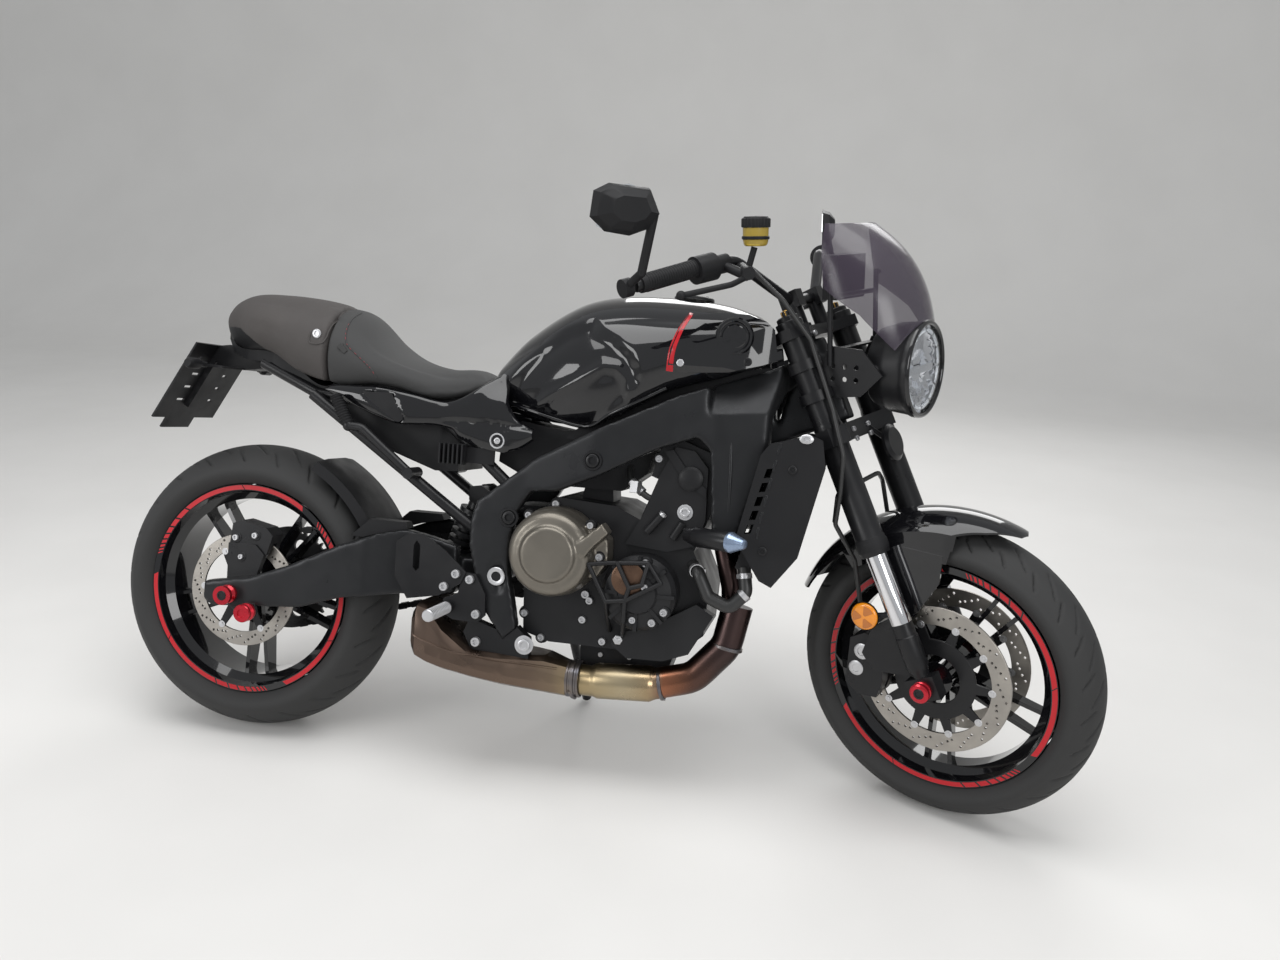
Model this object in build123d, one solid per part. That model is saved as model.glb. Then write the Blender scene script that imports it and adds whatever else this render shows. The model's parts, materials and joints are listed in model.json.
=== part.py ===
"""Retro roadster motorcycle, parked on its side stand with the steering on its right stop.

Every piece is drawn in the bike's own upright frame, in millimetres: x runs forward from the
rear axle, y to the rider's left and z up from the ground line. The steered pieces are drawn
straight ahead. At the end the steered pieces turn to the stop, the whole bike leans onto its
stand, and each piece is written out in the parked frame, whose origin is under the middle.
"""
from build123d import *
from functools import cache
import math
import os

# Stance
WHEELBASE = 1495.0
RAKE = 25.0
FORK_OFFSET = 28.9
STEERING_LOCK = 28.0
LEAN = 12.5
STAND_FOOT = (700.0, 290.0)

# Wheels: the rim's size is common, the tyres differ
RIM_FLANGE_R = 229.0
BEAD_SEAT_R = 216.5
FLANGE_T = 3.5
FRONT_TYRE_R = 300.0
FRONT_TYRE_HALF = 60.0
FRONT_RIM_HALF = 48.0
FRONT_CROWN_DROP = 38.0
REAR_TYRE_R = 315.0
REAR_TYRE_HALF = 90.0
REAR_RIM_HALF = 74.0
REAR_CROWN_DROP = 50.0
SPOKE_PAIRS = 5

# Brakes
FRONT_DISC_R = 149.0
FRONT_DISC_Y = 58.0
REAR_DISC_R = 122.5
REAR_DISC_Y = 88.0
DISC_T = 5.0
DISC_GAP = 5.0

# Final drive
CHAIN_Y = 108.0
CHAIN_PITCH = 15.875
REAR_TEETH = 45
FRONT_TEETH = 16
CHAIN_INSIDE = 9.6
PLATE_T = 2.0
PLATE_HALF = 7.2
SPROCKET_T = 7.6

# Fork, seen along its own axis: heights are measured up from the front axle
LEG_HALF = 105.0
SLIDER_R = 20.5
LOWER_TUBE_R = 28.0
UPPER_TUBE_R = 26.5
SEAL_HEIGHT = 272.0
LOWER_YOKE = (493.0, 529.0)
UPPER_YOKE = (712.0, 734.0)
LEG_TOP = 748.0
STEM_R = 15.0
STEM_BORE_R = 9.0
STEM_BORE_DEPTH = 60.0
HEAD_TUBE_R = 33.0
LEG_ROOM_R = 143.0
YOKE_ROOM_R = 152.0
FIT = 0.05
CLEAR = 5.0

# Bars and mirrors
BAR_R = 11.0
BAR_END = (1024.0, 378.0, 1061.0)
BAR_INNER = (1069.0, 250.0, 1087.0)
BAR_RISE = (1098.0, 172.0, 1096.0)
BAR_CLAMP = (1152.0, 52.0, 1014.0)
GRIP_R = 16.5

# Frame and swingarm
PIVOT = (591.0, 412.0)
PIVOT_HALF = 108.0
ARM_INNER_RIGHT = 115.0
ARM_INNER_LEFT = 126.0
ARM_T = 30.0
AXLE_R = 12.5

# Engine
CRANK = (887.0, 415.0)
CLUTCH = (708.0, 474.0)
SPROCKET = (655.0, 420.0)
SPROCKET_ROOM_R = 56.0
CYLINDER_TILT = 20.0
CASE_HALF = 112.0

DEG = math.pi / 180.0


# Small makers of solids

def slab(outline, y_low, y_high):
    """A plate with its outline in the side view, as (x, z) points."""
    wire = Polyline(*[(x, y_low, z) for x, z in outline], close=True)
    return extrude(make_face(wire), amount=y_high - y_low, dir=(0, 1, 0))


def plan(outline, z_low, z_high):
    """A plate with its outline seen from above, as (x, y) points."""
    wire = Polyline(*[(x, y, z_low) for x, y in outline], close=True)
    return extrude(make_face(wire), amount=z_high - z_low, dir=(0, 0, 1))


def mirrored(outline):
    """The same outline on the other side: (x, y) becomes (x, -y)."""
    return [(x, -y) for x, y in outline]


def mirrored_front(outline):
    """The same front-view outline on the other side: (y, z) becomes (-y, z)."""
    return [(-y, z) for y, z in outline]


def turned(rows):
    """A solid of revolution about Z, its outside given as (radius, height) rows."""
    wire = Polyline(*[(0, 0, rows[0][1])], *[(r, 0, h) for r, h in rows], (0, 0, rows[-1][1]), close=True)
    return revolve(make_face(wire), axis=Axis.Z)


def ring(outer, inner, low, high):
    """A plain ring about Z."""
    return turned([(outer, low), (outer, high)]) - turned([(inner, low - 1), (inner, high + 1)])


def across(shape, x, z, y=0.0, side=1):
    """Turn a Z-axis solid so that its axis points out to the left (side 1) or right (side -1)."""
    return Pos(x, y, z) * (Rot(-90 * side, 0, 0) * shape)


def rod(start, end, radius):
    """A round bar between two points."""
    plane = Plane(origin=start, z_dir=Vector(*end) - Vector(*start))
    length = (Vector(*end) - Vector(*start)).length
    return plane * Cylinder(radius, length, align=(Align.CENTER, Align.CENTER, Align.MIN))


def pipe(points, radius, bend):
    """A round bar bent through the points, with the same bend radius at each."""
    path = FilletPolyline(*points, radius=bend) if len(points) > 2 else Line(*points)
    start = Plane(origin=path @ 0, z_dir=path % 0)
    return sweep(start * Circle(radius), path=path)


def box_section(x, y_low, y_high, z_low, z_high, corner):
    """One cross-section of a box with rounded corners, each corner cut twice."""
    near, far = corner * 0.3, corner
    points = [
        (y_low, z_low + far), (y_low + near, z_low + near), (y_low + far, z_low),
        (y_high - far, z_low), (y_high - near, z_low + near), (y_high, z_low + far),
        (y_high, z_high - far), (y_high - near, z_high - near), (y_high - far, z_high),
        (y_low + far, z_high), (y_low + near, z_high - near), (y_low, z_high - far),
    ]
    return make_face(Polyline(*[(x, y, z) for y, z in points], close=True))


def domed_section(x, low, half_low, mid, half_mid, shoulder, half_shoulder, top):
    """One cross-section of a body panel: flat bottom, bowed sides and an arched top."""
    left = ThreePointArc((x, half_low, low), (x, half_mid, mid), (x, half_shoulder, shoulder))
    crown = ThreePointArc((x, half_shoulder, shoulder), (x, 0, top), (x, -half_shoulder, shoulder))
    right = ThreePointArc((x, -half_shoulder, shoulder), (x, -half_mid, mid), (x, -half_low, low))
    floor = Line((x, -half_low, low), (x, half_low, low))
    return make_face([left, crown, right, floor])


def domed_body(rows):
    """A body lofted through domed sections, given rear to front."""
    return loft([domed_section(*row) for row in rows])


def joined(pieces):
    """One shape out of several that meet."""
    first, *rest = pieces
    return first.fuse(*rest) if rest else first


def group(*pieces):
    """Like pieces of one node that don't touch."""
    return Compound([solid for piece in pieces for solid in piece.solids()])


# The points of the bars, lamp and screen were drawn with the axles here, and move along with them
DRAWN_FRONT_AXLE = (1495.0, 300.0)
DRAWN_REAR_AXLE = 315.0
FRONT_MOVE = (WHEELBASE - DRAWN_FRONT_AXLE[0], FRONT_TYRE_R - DRAWN_FRONT_AXLE[1])
REAR_MOVE = REAR_TYRE_R - DRAWN_REAR_AXLE


def carried(shape):
    """Move a shape of the front end along with the front axle."""
    return Pos(FRONT_MOVE[0], 0, FRONT_MOVE[1]) * shape


def share(x, start, end):
    """0 behind start and 1 ahead of end, in proportion between them."""
    return min(1.0, max(0.0, (x - start) / (end - start)))


def reaching(outline):
    """Side-view points of the frame, of which those at the head move with the front axle."""
    return [(x + FRONT_MOVE[0] * share(x, 960, 1090), z + FRONT_MOVE[1] * share(x, 960, 1090)) for x, z in outline]


def trailing(outline):
    """Side-view points of the swingarm, of which those at its rear move with the rear axle."""
    return [(x, z + REAR_MOVE * (1 - share(x, 100, 400))) for x, z in outline]


# The steering's own frame: x ahead of the steering axis, y left, z up along it
STEER = Plane(
    origin=(
        WHEELBASE - FORK_OFFSET * math.cos(RAKE * DEG),
        0,
        FRONT_TYRE_R - FORK_OFFSET * math.sin(RAKE * DEG),
    ),
    x_dir=(math.cos(RAKE * DEG), 0, math.sin(RAKE * DEG)),
    z_dir=(-math.sin(RAKE * DEG), 0, math.cos(RAKE * DEG)),
)


def in_fork(shape):
    """Place a shape drawn in the steering's own frame into the bike's frame."""
    return STEER.location * shape


# Wheels, drawn about Z with Z pointing left, then laid across the bike

def tyre(radius, half, drop, rim_half):
    bead = rim_half - FLANGE_T - 0.3
    shoulder = radius - drop
    outline = [
        Line((BEAD_SEAT_R + 1, 0, -bead), (BEAD_SEAT_R + 1, 0, bead)),
        Line((BEAD_SEAT_R + 1, 0, bead), (RIM_FLANGE_R + 2, 0, bead)),
        ThreePointArc(
            (RIM_FLANGE_R + 2, 0, bead),
            ((RIM_FLANGE_R + shoulder) / 2 + 4, 0, (bead + half) / 2 + 6),
            (shoulder, 0, half),
        ),
        ThreePointArc((shoulder, 0, half), (radius, 0, 0), (shoulder, 0, -half)),
        ThreePointArc(
            (shoulder, 0, -half),
            ((RIM_FLANGE_R + shoulder) / 2 + 4, 0, -(bead + half) / 2 - 6),
            (RIM_FLANGE_R + 2, 0, -bead),
        ),
        Line((RIM_FLANGE_R + 2, 0, -bead), (BEAD_SEAT_R + 1, 0, -bead)),
    ]
    return revolve(make_face(outline), axis=Axis.Z)


def rim_barrel(rim_half):
    seat = rim_half - FLANGE_T
    outer = [(RIM_FLANGE_R, seat), (BEAD_SEAT_R, seat), (BEAD_SEAT_R, seat - 22), (204, seat - 30)]
    inner = [(196, seat - 26), (211, seat - 14), (216, rim_half), (RIM_FLANGE_R, rim_half)]
    half_outline = outer + [(204, 0), (196, 0)] + inner
    wire = Polyline(*[(r, 0, h) for r, h in half_outline], close=True)
    half = revolve(make_face(wire), axis=Axis.Z)
    return half + mirror(half, about=Plane.XY)


def spoke(angle, hub_r, depth_hub, depth_rim):
    """One slim spoke that tapers in depth from the hub to the rim."""
    length = 199.0
    side = Polyline((hub_r - 8, 0, -depth_hub), (length, 0, -depth_rim), (length, 0, depth_rim),
                    (hub_r - 8, 0, depth_hub), close=True)
    bar = extrude(make_face(side), amount=4.5, dir=(0, 1, 0), both=True)
    return Rot(0, 0, angle) * bar


def cast_wheel(rim_half, hub_r, hub_half, bore_r, depth_hub, depth_rim):
    """Rim, pairs of slim spokes and the hub as one casting."""
    pieces = [rim_barrel(rim_half), turned([(hub_r, -hub_half), (hub_r, hub_half)])]
    for pair in range(SPOKE_PAIRS):
        centre = 90 + pair * 360 / SPOKE_PAIRS
        for lean_out in (-1, 1):
            leg = Pos(0, lean_out * 9, 0) * spoke(lean_out * 4.5, hub_r, depth_hub, depth_rim)
            pieces.append(Rot(0, 0, centre) * leg)
    wheel = joined(pieces)
    return wheel - turned([(bore_r, -hub_half - 1), (bore_r, hub_half + 1)])


def brake_disc(radius, inner, hub_r, bore_r, y, arms):
    """Friction ring carried by the arms of a slim carrier, bolted to the hub's flange."""
    friction = ring(radius, inner, -DISC_T / 2, DISC_T / 2)
    carrier = ring(hub_r, bore_r, -DISC_T / 2, DISC_T / 2)
    pieces = [friction, carrier]
    for arm in range(arms):
        bar = Pos((inner + hub_r) / 2, 0, 0) * Box(inner - hub_r + 8, 12, DISC_T)
        pieces.append(Rot(0, 0, arm * 360 / arms) * bar)
    return Pos(0, 0, y) * joined(pieces)


def pitch_radius(teeth):
    return CHAIN_PITCH / (2 * math.sin(math.pi / teeth))


def sprocket(teeth, bore):
    """Toothed ring: one trapezoid tooth per pitch."""
    root = pitch_radius(teeth) - 5.2
    tip = pitch_radius(teeth) + 4.0
    points = []
    for tooth in range(teeth):
        middle = tooth * 360 / teeth
        for radius, part in ((root, -0.5), (root, -0.28), (tip, -0.1), (tip, 0.1), (root, 0.28)):
            angle = (middle + part * 360 / teeth) * DEG
            points.append((radius * math.cos(angle), radius * math.sin(angle), -SPROCKET_T / 2))
    gear = extrude(make_face(Polyline(*points, close=True)), amount=SPROCKET_T, dir=(0, 0, 1))
    return gear - turned([(bore, -SPROCKET_T), (bore, SPROCKET_T)])


def front_rim():
    hub = cast_wheel(FRONT_RIM_HALF, 34, FRONT_DISC_Y - DISC_T / 2 - 0.2, AXLE_R + FIT, 17, 10)
    return across(hub, WHEELBASE, FRONT_TYRE_R)


def rear_rim():
    carrier_y = CHAIN_Y - SPROCKET_T / 2 - 0.2
    hub = cast_wheel(REAR_RIM_HALF, 38, REAR_DISC_Y - DISC_T / 2 - 0.2, AXLE_R + FIT, 26, 16)
    cush = ring(58, AXLE_R + FIT, 34, carrier_y)
    return across(hub + cush, 0, REAR_TYRE_R)


def front_discs():
    left = brake_disc(FRONT_DISC_R, 112, 42, 22, FRONT_DISC_Y, 10)
    return across(left + mirror(left, about=Plane.XY), WHEELBASE, FRONT_TYRE_R)


def rear_disc():
    return across(brake_disc(REAR_DISC_R, 92, 44, 22, -REAR_DISC_Y, 6), 0, REAR_TYRE_R)


def rear_sprocket():
    gear = sprocket(REAR_TEETH, 22)
    holes = [Rot(0, 0, n * 72) * (Pos(80, 0, 0) * Cylinder(15, 20)) for n in range(5)]
    return across(Pos(0, 0, CHAIN_Y) * (gear - joined(holes)), 0, REAR_TYRE_R)


# Chain: two rows of side plates round both sprockets, with rollers between them on the free runs

def chain():
    centres = Vector(SPROCKET[0], SPROCKET[1] - REAR_TYRE_R)
    big, small = pitch_radius(REAR_TEETH), pitch_radius(FRONT_TEETH)
    slope = math.atan2(centres.Y, centres.X)
    spread = math.acos((big - small) / centres.length)
    origin = Vector(0, REAR_TYRE_R)
    front = Vector(*SPROCKET)

    def on_circle(centre, radius, angle):
        return Vector(centre.X + radius * math.cos(angle), centre.Y + radius * math.sin(angle))

    def loop(offset, y):
        def at(centre, radius, angle):
            spot = on_circle(centre, radius + offset, angle)
            return (spot.X, y, spot.Y)

        top, low = slope + spread, slope - spread
        edges = [
            Line(at(origin, big, top), at(front, small, top)),
            ThreePointArc(at(front, small, top), at(front, small, slope), at(front, small, low)),
            Line(at(front, small, low), at(origin, big, low)),
            ThreePointArc(at(origin, big, low), at(origin, big, slope + math.pi), at(origin, big, top)),
        ]
        return make_face(edges)

    def band(half, y_low, y_high):
        face = loop(half, y_low) - loop(-half, y_low)
        return extrude(face, amount=y_high - y_low, dir=(0, 1, 0))

    half_inside = CHAIN_INSIDE / 2
    pieces = []
    for side in (-1, 1):
        near, far = CHAIN_Y + side * half_inside, CHAIN_Y + side * (half_inside + PLATE_T)
        pieces.append(band(PLATE_HALF - 1.4, min(near, far), max(near, far)))
    for angle in (slope + spread, slope - spread):
        start, end = on_circle(origin, big, angle), on_circle(front, small, angle)
        along = (end - start).normalized()
        across_run = Vector(-along.Y, along.X) * 4.0
        first, last = start + along * 56, end - along * 28
        corners = [first + across_run, last + across_run, last - across_run, first - across_run]
        pieces.append(slab([(c.X, c.Y) for c in corners], CHAIN_Y - half_inside, CHAIN_Y + half_inside))
        links = int((end - start).length / (2 * CHAIN_PITCH))
        for link in range(links):
            middle = start + along * (CHAIN_PITCH * (2 * link + 1))
            corners = []
            for dx, dz in ((-13, -3), (-9, -7.2), (9, -7.2), (13, -3), (13, 3), (9, 7.2), (-9, 7.2), (-13, 3)):
                spot = middle + along * dx + Vector(-along.Y, along.X) * dz
                corners.append((spot.X, spot.Y))
            reach = half_inside + 2 * PLATE_T
            pieces.append(slab(corners, CHAIN_Y - reach, CHAIN_Y - half_inside - PLATE_T / 2))
            pieces.append(slab(corners, CHAIN_Y + half_inside + PLATE_T / 2, CHAIN_Y + reach))
    return joined(pieces)


def chain_room():
    """Straight tunnels that the chain's two runs need through the swingarm."""
    big, small = pitch_radius(REAR_TEETH), pitch_radius(FRONT_TEETH)
    rooms = []
    for sign in (1, -1):
        start, end = (0, REAR_TYRE_R + sign * big), (SPROCKET[0], SPROCKET[1] + sign * small)
        rise = PLATE_HALF + CLEAR + 2
        outline = [(start[0], start[1] - rise), (end[0], end[1] - rise), (end[0], end[1] + rise),
                   (start[0], start[1] + rise)]
        rooms.append(slab(outline, CHAIN_Y - 14, CHAIN_Y + 14))
    return joined(rooms)


def front_sprocket():
    gear = sprocket(FRONT_TEETH, 14)
    return across(Pos(0, 0, CHAIN_Y) * gear, SPROCKET[0], SPROCKET[1])


# Fork, yokes and what they carry

def fork_leg(side):
    """Upside-down leg: fat outer tube above, slim slider below, and the axle's clamp at its foot."""
    rows = [
        (12, -26), (17, -22), (17, 30), (22, 46), (22, 104), (SLIDER_R, 106), (SLIDER_R, SEAL_HEIGHT),
        (LOWER_TUBE_R, SEAL_HEIGHT), (LOWER_TUBE_R + 2.5, SEAL_HEIGHT + 10),
        (LOWER_TUBE_R + 2.5, SEAL_HEIGHT + 26), (LOWER_TUBE_R, SEAL_HEIGHT + 30),
        (LOWER_TUBE_R, LOWER_YOKE[1] + 4), (UPPER_TUBE_R, LOWER_YOKE[1] + 12),
        (UPPER_TUBE_R, LEG_TOP), (21, LEG_TOP), (21, LEG_TOP + 10), (9, LEG_TOP + 12), (9, LEG_TOP + 22),
    ]
    leg = turned(rows)
    clamp = Box(58, 34, 46)
    lug = Plane.XZ * make_face(Polyline((0, 20), (-96, 52), (-104, 92), (-60, 138), (0, 150), close=True))
    lug = extrude(lug, amount=12)
    bore = Rot(90, 0, 0) * Cylinder(AXLE_R + FIT, 120)
    foot = leg + clamp + Pos(0, -side * 4 + (6 if side > 0 else 6), 0) * lug - bore
    return in_fork(Pos(FORK_OFFSET, side * LEG_HALF, 0) * foot)


def yoke(low, high, tube_r, front_reach):
    """Plate that clamps both legs and holds the stem between them."""
    outline = [
        (-40, 22), (-24, LEG_HALF - 6), (0, LEG_HALF + 22), (16, LEG_HALF + 34), (44, LEG_HALF + 34),
        (66, LEG_HALF), (front_reach, 52), (front_reach, -52), (66, -LEG_HALF), (44, -LEG_HALF - 34),
        (16, -LEG_HALF - 34), (0, -LEG_HALF - 22), (-24, -LEG_HALF + 6), (-40, -22),
    ]
    plate = plan(outline, low, high)
    for side in (-1, 1):
        plate -= Pos(FORK_OFFSET, side * LEG_HALF, 0) * turned([(tube_r + FIT, low - 1), (tube_r + FIT, high + 1)])
    return plate


@cache
def lower_yoke():
    """The lower yoke carries the steering stem, which is bored from below for a paddock stand's pin."""
    plate = yoke(*LOWER_YOKE, LOWER_TUBE_R, 40)
    stem = turned([(STEM_R, LOWER_YOKE[0]), (STEM_R, UPPER_YOKE[1] - 2)])
    stop = Pos(-44, 0, (LOWER_YOKE[0] + LOWER_YOKE[1]) / 2) * Box(20, 24, 20)
    bore = turned([(STEM_BORE_R, LOWER_YOKE[0] - 1), (STEM_BORE_R, LOWER_YOKE[0] + STEM_BORE_DEPTH)])
    return in_fork(plate + stem + stop - bore)


def upper_yoke():
    plate = yoke(*UPPER_YOKE, UPPER_TUBE_R, 34)
    plate -= turned([(STEM_R + FIT, UPPER_YOKE[0] - 1), (STEM_R + FIT, UPPER_YOKE[1] - 2 + FIT)])
    nut = turned([(17, UPPER_YOKE[1]), (17, UPPER_YOKE[1] + 9), (12, UPPER_YOKE[1] + 12)])
    risers = []
    for side in (-1, 1):
        foot = STEER.to_local_coords(Vector(BAR_CLAMP[0] + FRONT_MOVE[0], side * 44, BAR_CLAMP[2] + FRONT_MOVE[1]))
        risers.append(rod((foot.X, side * 44, UPPER_YOKE[1] - 1), (foot.X, side * 44, foot.Z - BAR_R + 3), 15))
        block = Pos(foot.X, side * 44, foot.Z) * Box(42, 26, 34)
        risers.append(block)
    body = in_fork(joined([plate, nut] + risers))
    return body - bar_path_solid(BAR_R + FIT)


def bar_points():
    left = [BAR_END, BAR_INNER, BAR_RISE, BAR_CLAMP]
    return [(x, -y, z) for x, y, z in left] + [(x, y, z) for x, y, z in reversed(left)]


def bar_path_solid(radius):
    points = bar_points()
    return carried(pipe([points[0]] + points[2:6] + [points[-1]], radius, 36))


def handlebar():
    return bar_path_solid(BAR_R)


def toward(start, end, distance):
    """The point so far from start on the way to end."""
    a, b = Vector(*start), Vector(*end)
    spot = a + (b - a).normalized() * distance
    return (spot.X, spot.Y, spot.Z)


def side_point(point, side):
    return (point[0], side * point[1], point[2])


def grip(side):
    start, end = side_point(BAR_END, side), side_point(BAR_RISE, side)
    body = rod(toward(start, end, 6), toward(start, end, 118), GRIP_R)
    flange = rod(toward(start, end, 114), toward(start, end, 121), GRIP_R + 4)
    weight = rod(toward(start, end, -20), toward(start, end, 5.9), 15)
    bore = rod(toward(start, end, 0), toward(start, end, 130), BAR_R + FIT)
    return carried(joined([body, flange, weight]) - bore)


def controls(side):
    """Switch housing, lever perch and lever of one side."""
    start, end = side_point(BAR_END, side), side_point(BAR_RISE, side)
    housing = rod(toward(start, end, 124), toward(start, end, 168), 26)
    perch = rod(toward(start, end, 172), toward(start, end, 200), 18)
    pivot = (1150, side * 212, 1070)
    arm = rod(toward(start, end, 186), pivot, 9)
    lever = pipe([pivot, (1146, side * 262, 1058), (1095, side * 350, 1042)], 5.5, 30)
    ball = Pos(1095, side * 350, 1042) * Sphere(9)
    bore = rod(toward(start, end, 100), toward(start, end, 230), BAR_R + FIT)
    pieces = [housing, perch, arm, lever, ball]
    if side < 0:
        cylinder = rod((1108, side * 170, 1082), (1160, side * 225, 1076), 12)
        bracket = rod((1140, side * 196, 1080), (1150, side * 190, 1122), 6)
        pieces += [cylinder, bracket]
    return carried(joined(pieces) - bore)


def fluid_reservoir():
    """Clear brake-fluid cup with its screwed lid, on a stub over the front brake's perch."""
    cup = turned([(21, 0), (23, 4), (24, 34), (27, 34), (27, 50), (24, 54)])
    return carried(Pos(1152, -190, 1124) * cup)


MIRRORS = {
    -1: {"knee": (1058, 417, 1084), "arm_top": (1092, 426, 1182), "centre": (1062, 466, 1192)},
    1: {"knee": (1002, 419, 1094), "arm_top": (972, 456, 1134), "centre": (962, 452, 1147)},
}


def mirror_head(side):
    """Bar-end mirror: clamp, arm from the bar's end, and a faceted shell facing the rider."""
    place = {name: side_point(point, side) for name, point in MIRRORS[side].items()}
    base = side_point(BAR_END, side)
    end = side_point(BAR_RISE, side)
    clamp = rod(toward(base, end, -38), toward(base, end, -20.2), 17)
    arm = joined([
        rod(toward(base, end, -30), place["knee"], 7.5),
        rod(place["knee"], place["arm_top"], 8),
        Pos(*place["knee"]) * Sphere(8),
    ])
    face = [(-62, 10), (-40, 34), (-6, 44), (40, 36), (66, 12), (58, -30), (30, -42), (-44, -34)]
    middle = [(x * 0.9, z * 0.88) for x, z in face]
    back = [(x * 0.55, z * 0.5) for x, z in face]
    plane = Plane(origin=place["centre"], x_dir=(-0.46, side * 0.888, 0), z_dir=(0.888, side * 0.46, 0))
    if side > 0:
        face, middle, back = [[(x, -z) for x, z in outline] for outline in (face, middle, back)]
    faces = [
        plane * make_face(Polyline(*[(x, z, depth) for x, z in outline], close=True))
        for outline, depth in ((face, 0), (middle, 16), (back, 30))
    ]
    return carried(joined([clamp, arm, loft(faces, ruled=True)]))


LAMP = (1318.0, 893.0)


def headlight_shell():
    """Deep bucket that opens forward for the lens."""
    rows = [(40, 0), (74, 10), (86, 45), (90, 84), (93, 86), (93, 100)]
    bucket = turned(rows) - turned([(84, 78), (84, 101)])
    ears = [rod((LAMP[0] + 30, side * 78, LAMP[1]), (LAMP[0] + 30, side * 93, LAMP[1]), 9) for side in (-1, 1)]
    return carried(Pos(LAMP[0], 0, LAMP[1]) * (Rot(0, 90, 0) * bucket) + ears)


def headlight_lens():
    lens = turned([(83.5, 78.3), (83.5, 94), (70, 100), (40, 105), (12, 107)])
    return carried(Pos(LAMP[0], 0, LAMP[1]) * (Rot(0, 90, 0) * lens))


def headlight_bracket():
    """Pierced plates from the fork's tubes to the bucket's sides."""
    pieces = []
    for side in (-1, 1):
        y0, y1 = sorted((side * 93.2, side * 97.2))
        plate = slab([(1236, 862), (1262, 938), (1330, 934), (1372, 888), (1330, 846), (1262, 838)], y0, y1)
        for column in range(3):
            for row in range(2):
                hole = Cylinder(5, 20)
                plate -= across(hole, 1272 + 24 * column, 876 + 24 * row, side * 95)
        pieces.append(carried(plate))
        for height in (585, 648):
            clamp = ring(33, UPPER_TUBE_R + FIT, height, height + 20)
            pieces.append(in_fork(Pos(FORK_OFFSET, side * LEG_HALF, 0) * clamp))
    brace = plan([(1256, -97), (1256, 97), (1272, 97), (1272, -97)], 925, 929)
    body = joined(pieces + [carried(brace)])
    for side in (-1, 1):
        bore = turned([(UPPER_TUBE_R + FIT, 540), (UPPER_TUBE_R + FIT, 700)])
        body -= in_fork(Pos(FORK_OFFSET, side * LEG_HALF, 0) * bore)
    return body


def screen_section(z, x_back, x_front, half):
    arc = ThreePointArc((x_back, half, z), (x_front, 0, z), (x_back, -half, z))
    return make_face([arc, Line((x_back, -half, z), (x_back, half, z))])


SCREEN_ROWS = ((930, 1300, 1428, 112), (1000, 1270, 1416, 118), (1070, 1252, 1388, 116), (1163, 1245, 1288, 96))


@cache
def fly_screen():
    """Smoked bubble over the lamp, thin all over and open behind and below."""
    thick = 3.5
    outer = loft([screen_section(*row) for row in SCREEN_ROWS])
    inner_rows = [(z, back - 1, front - thick, half - thick) for z, back, front, half in SCREEN_ROWS]
    first, last = inner_rows[0], inner_rows[-1]
    inner_rows[0] = (first[0] - 1, *first[1:])
    inner_rows[-1] = (last[0] + 1, *last[1:])
    shell = outer - loft([screen_section(*row) for row in inner_rows])
    lamp_room = Pos(LAMP[0], 0, LAMP[1]) * (Rot(0, 90, 0) * turned([(95, -100), (95, 200)]))
    below = slab([(1180, 900), (1180, 1052), (1250, 1050), (1330, 1000), (1368, 960), (1420, 900)], -200, 200)
    return carried(shell - lamp_room - below)


def screen_mount():
    """Two stays that hold the screen off the lamp's brackets, and the instrument's plate."""
    pieces = []
    for side in (-1, 1):
        pieces.append(rod((1268, side * 101.8, 900), (1262, side * 101.8, 1072), 5))
        pieces.append(rod((1262, side * 100, 1066), (1262, side * 114.5, 1066), 5))
    cross = rod((1262, -101.8, 1030), (1262, 101.8, 1030), 5)
    return carried(joined(pieces + [cross])) - fly_screen()


def instrument():
    """Flat colour display in its case, on the cross stay behind the screen."""
    case = Box(30, 124, 84)
    return carried(Pos(1241.8, 0, 1062) * case)


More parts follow.
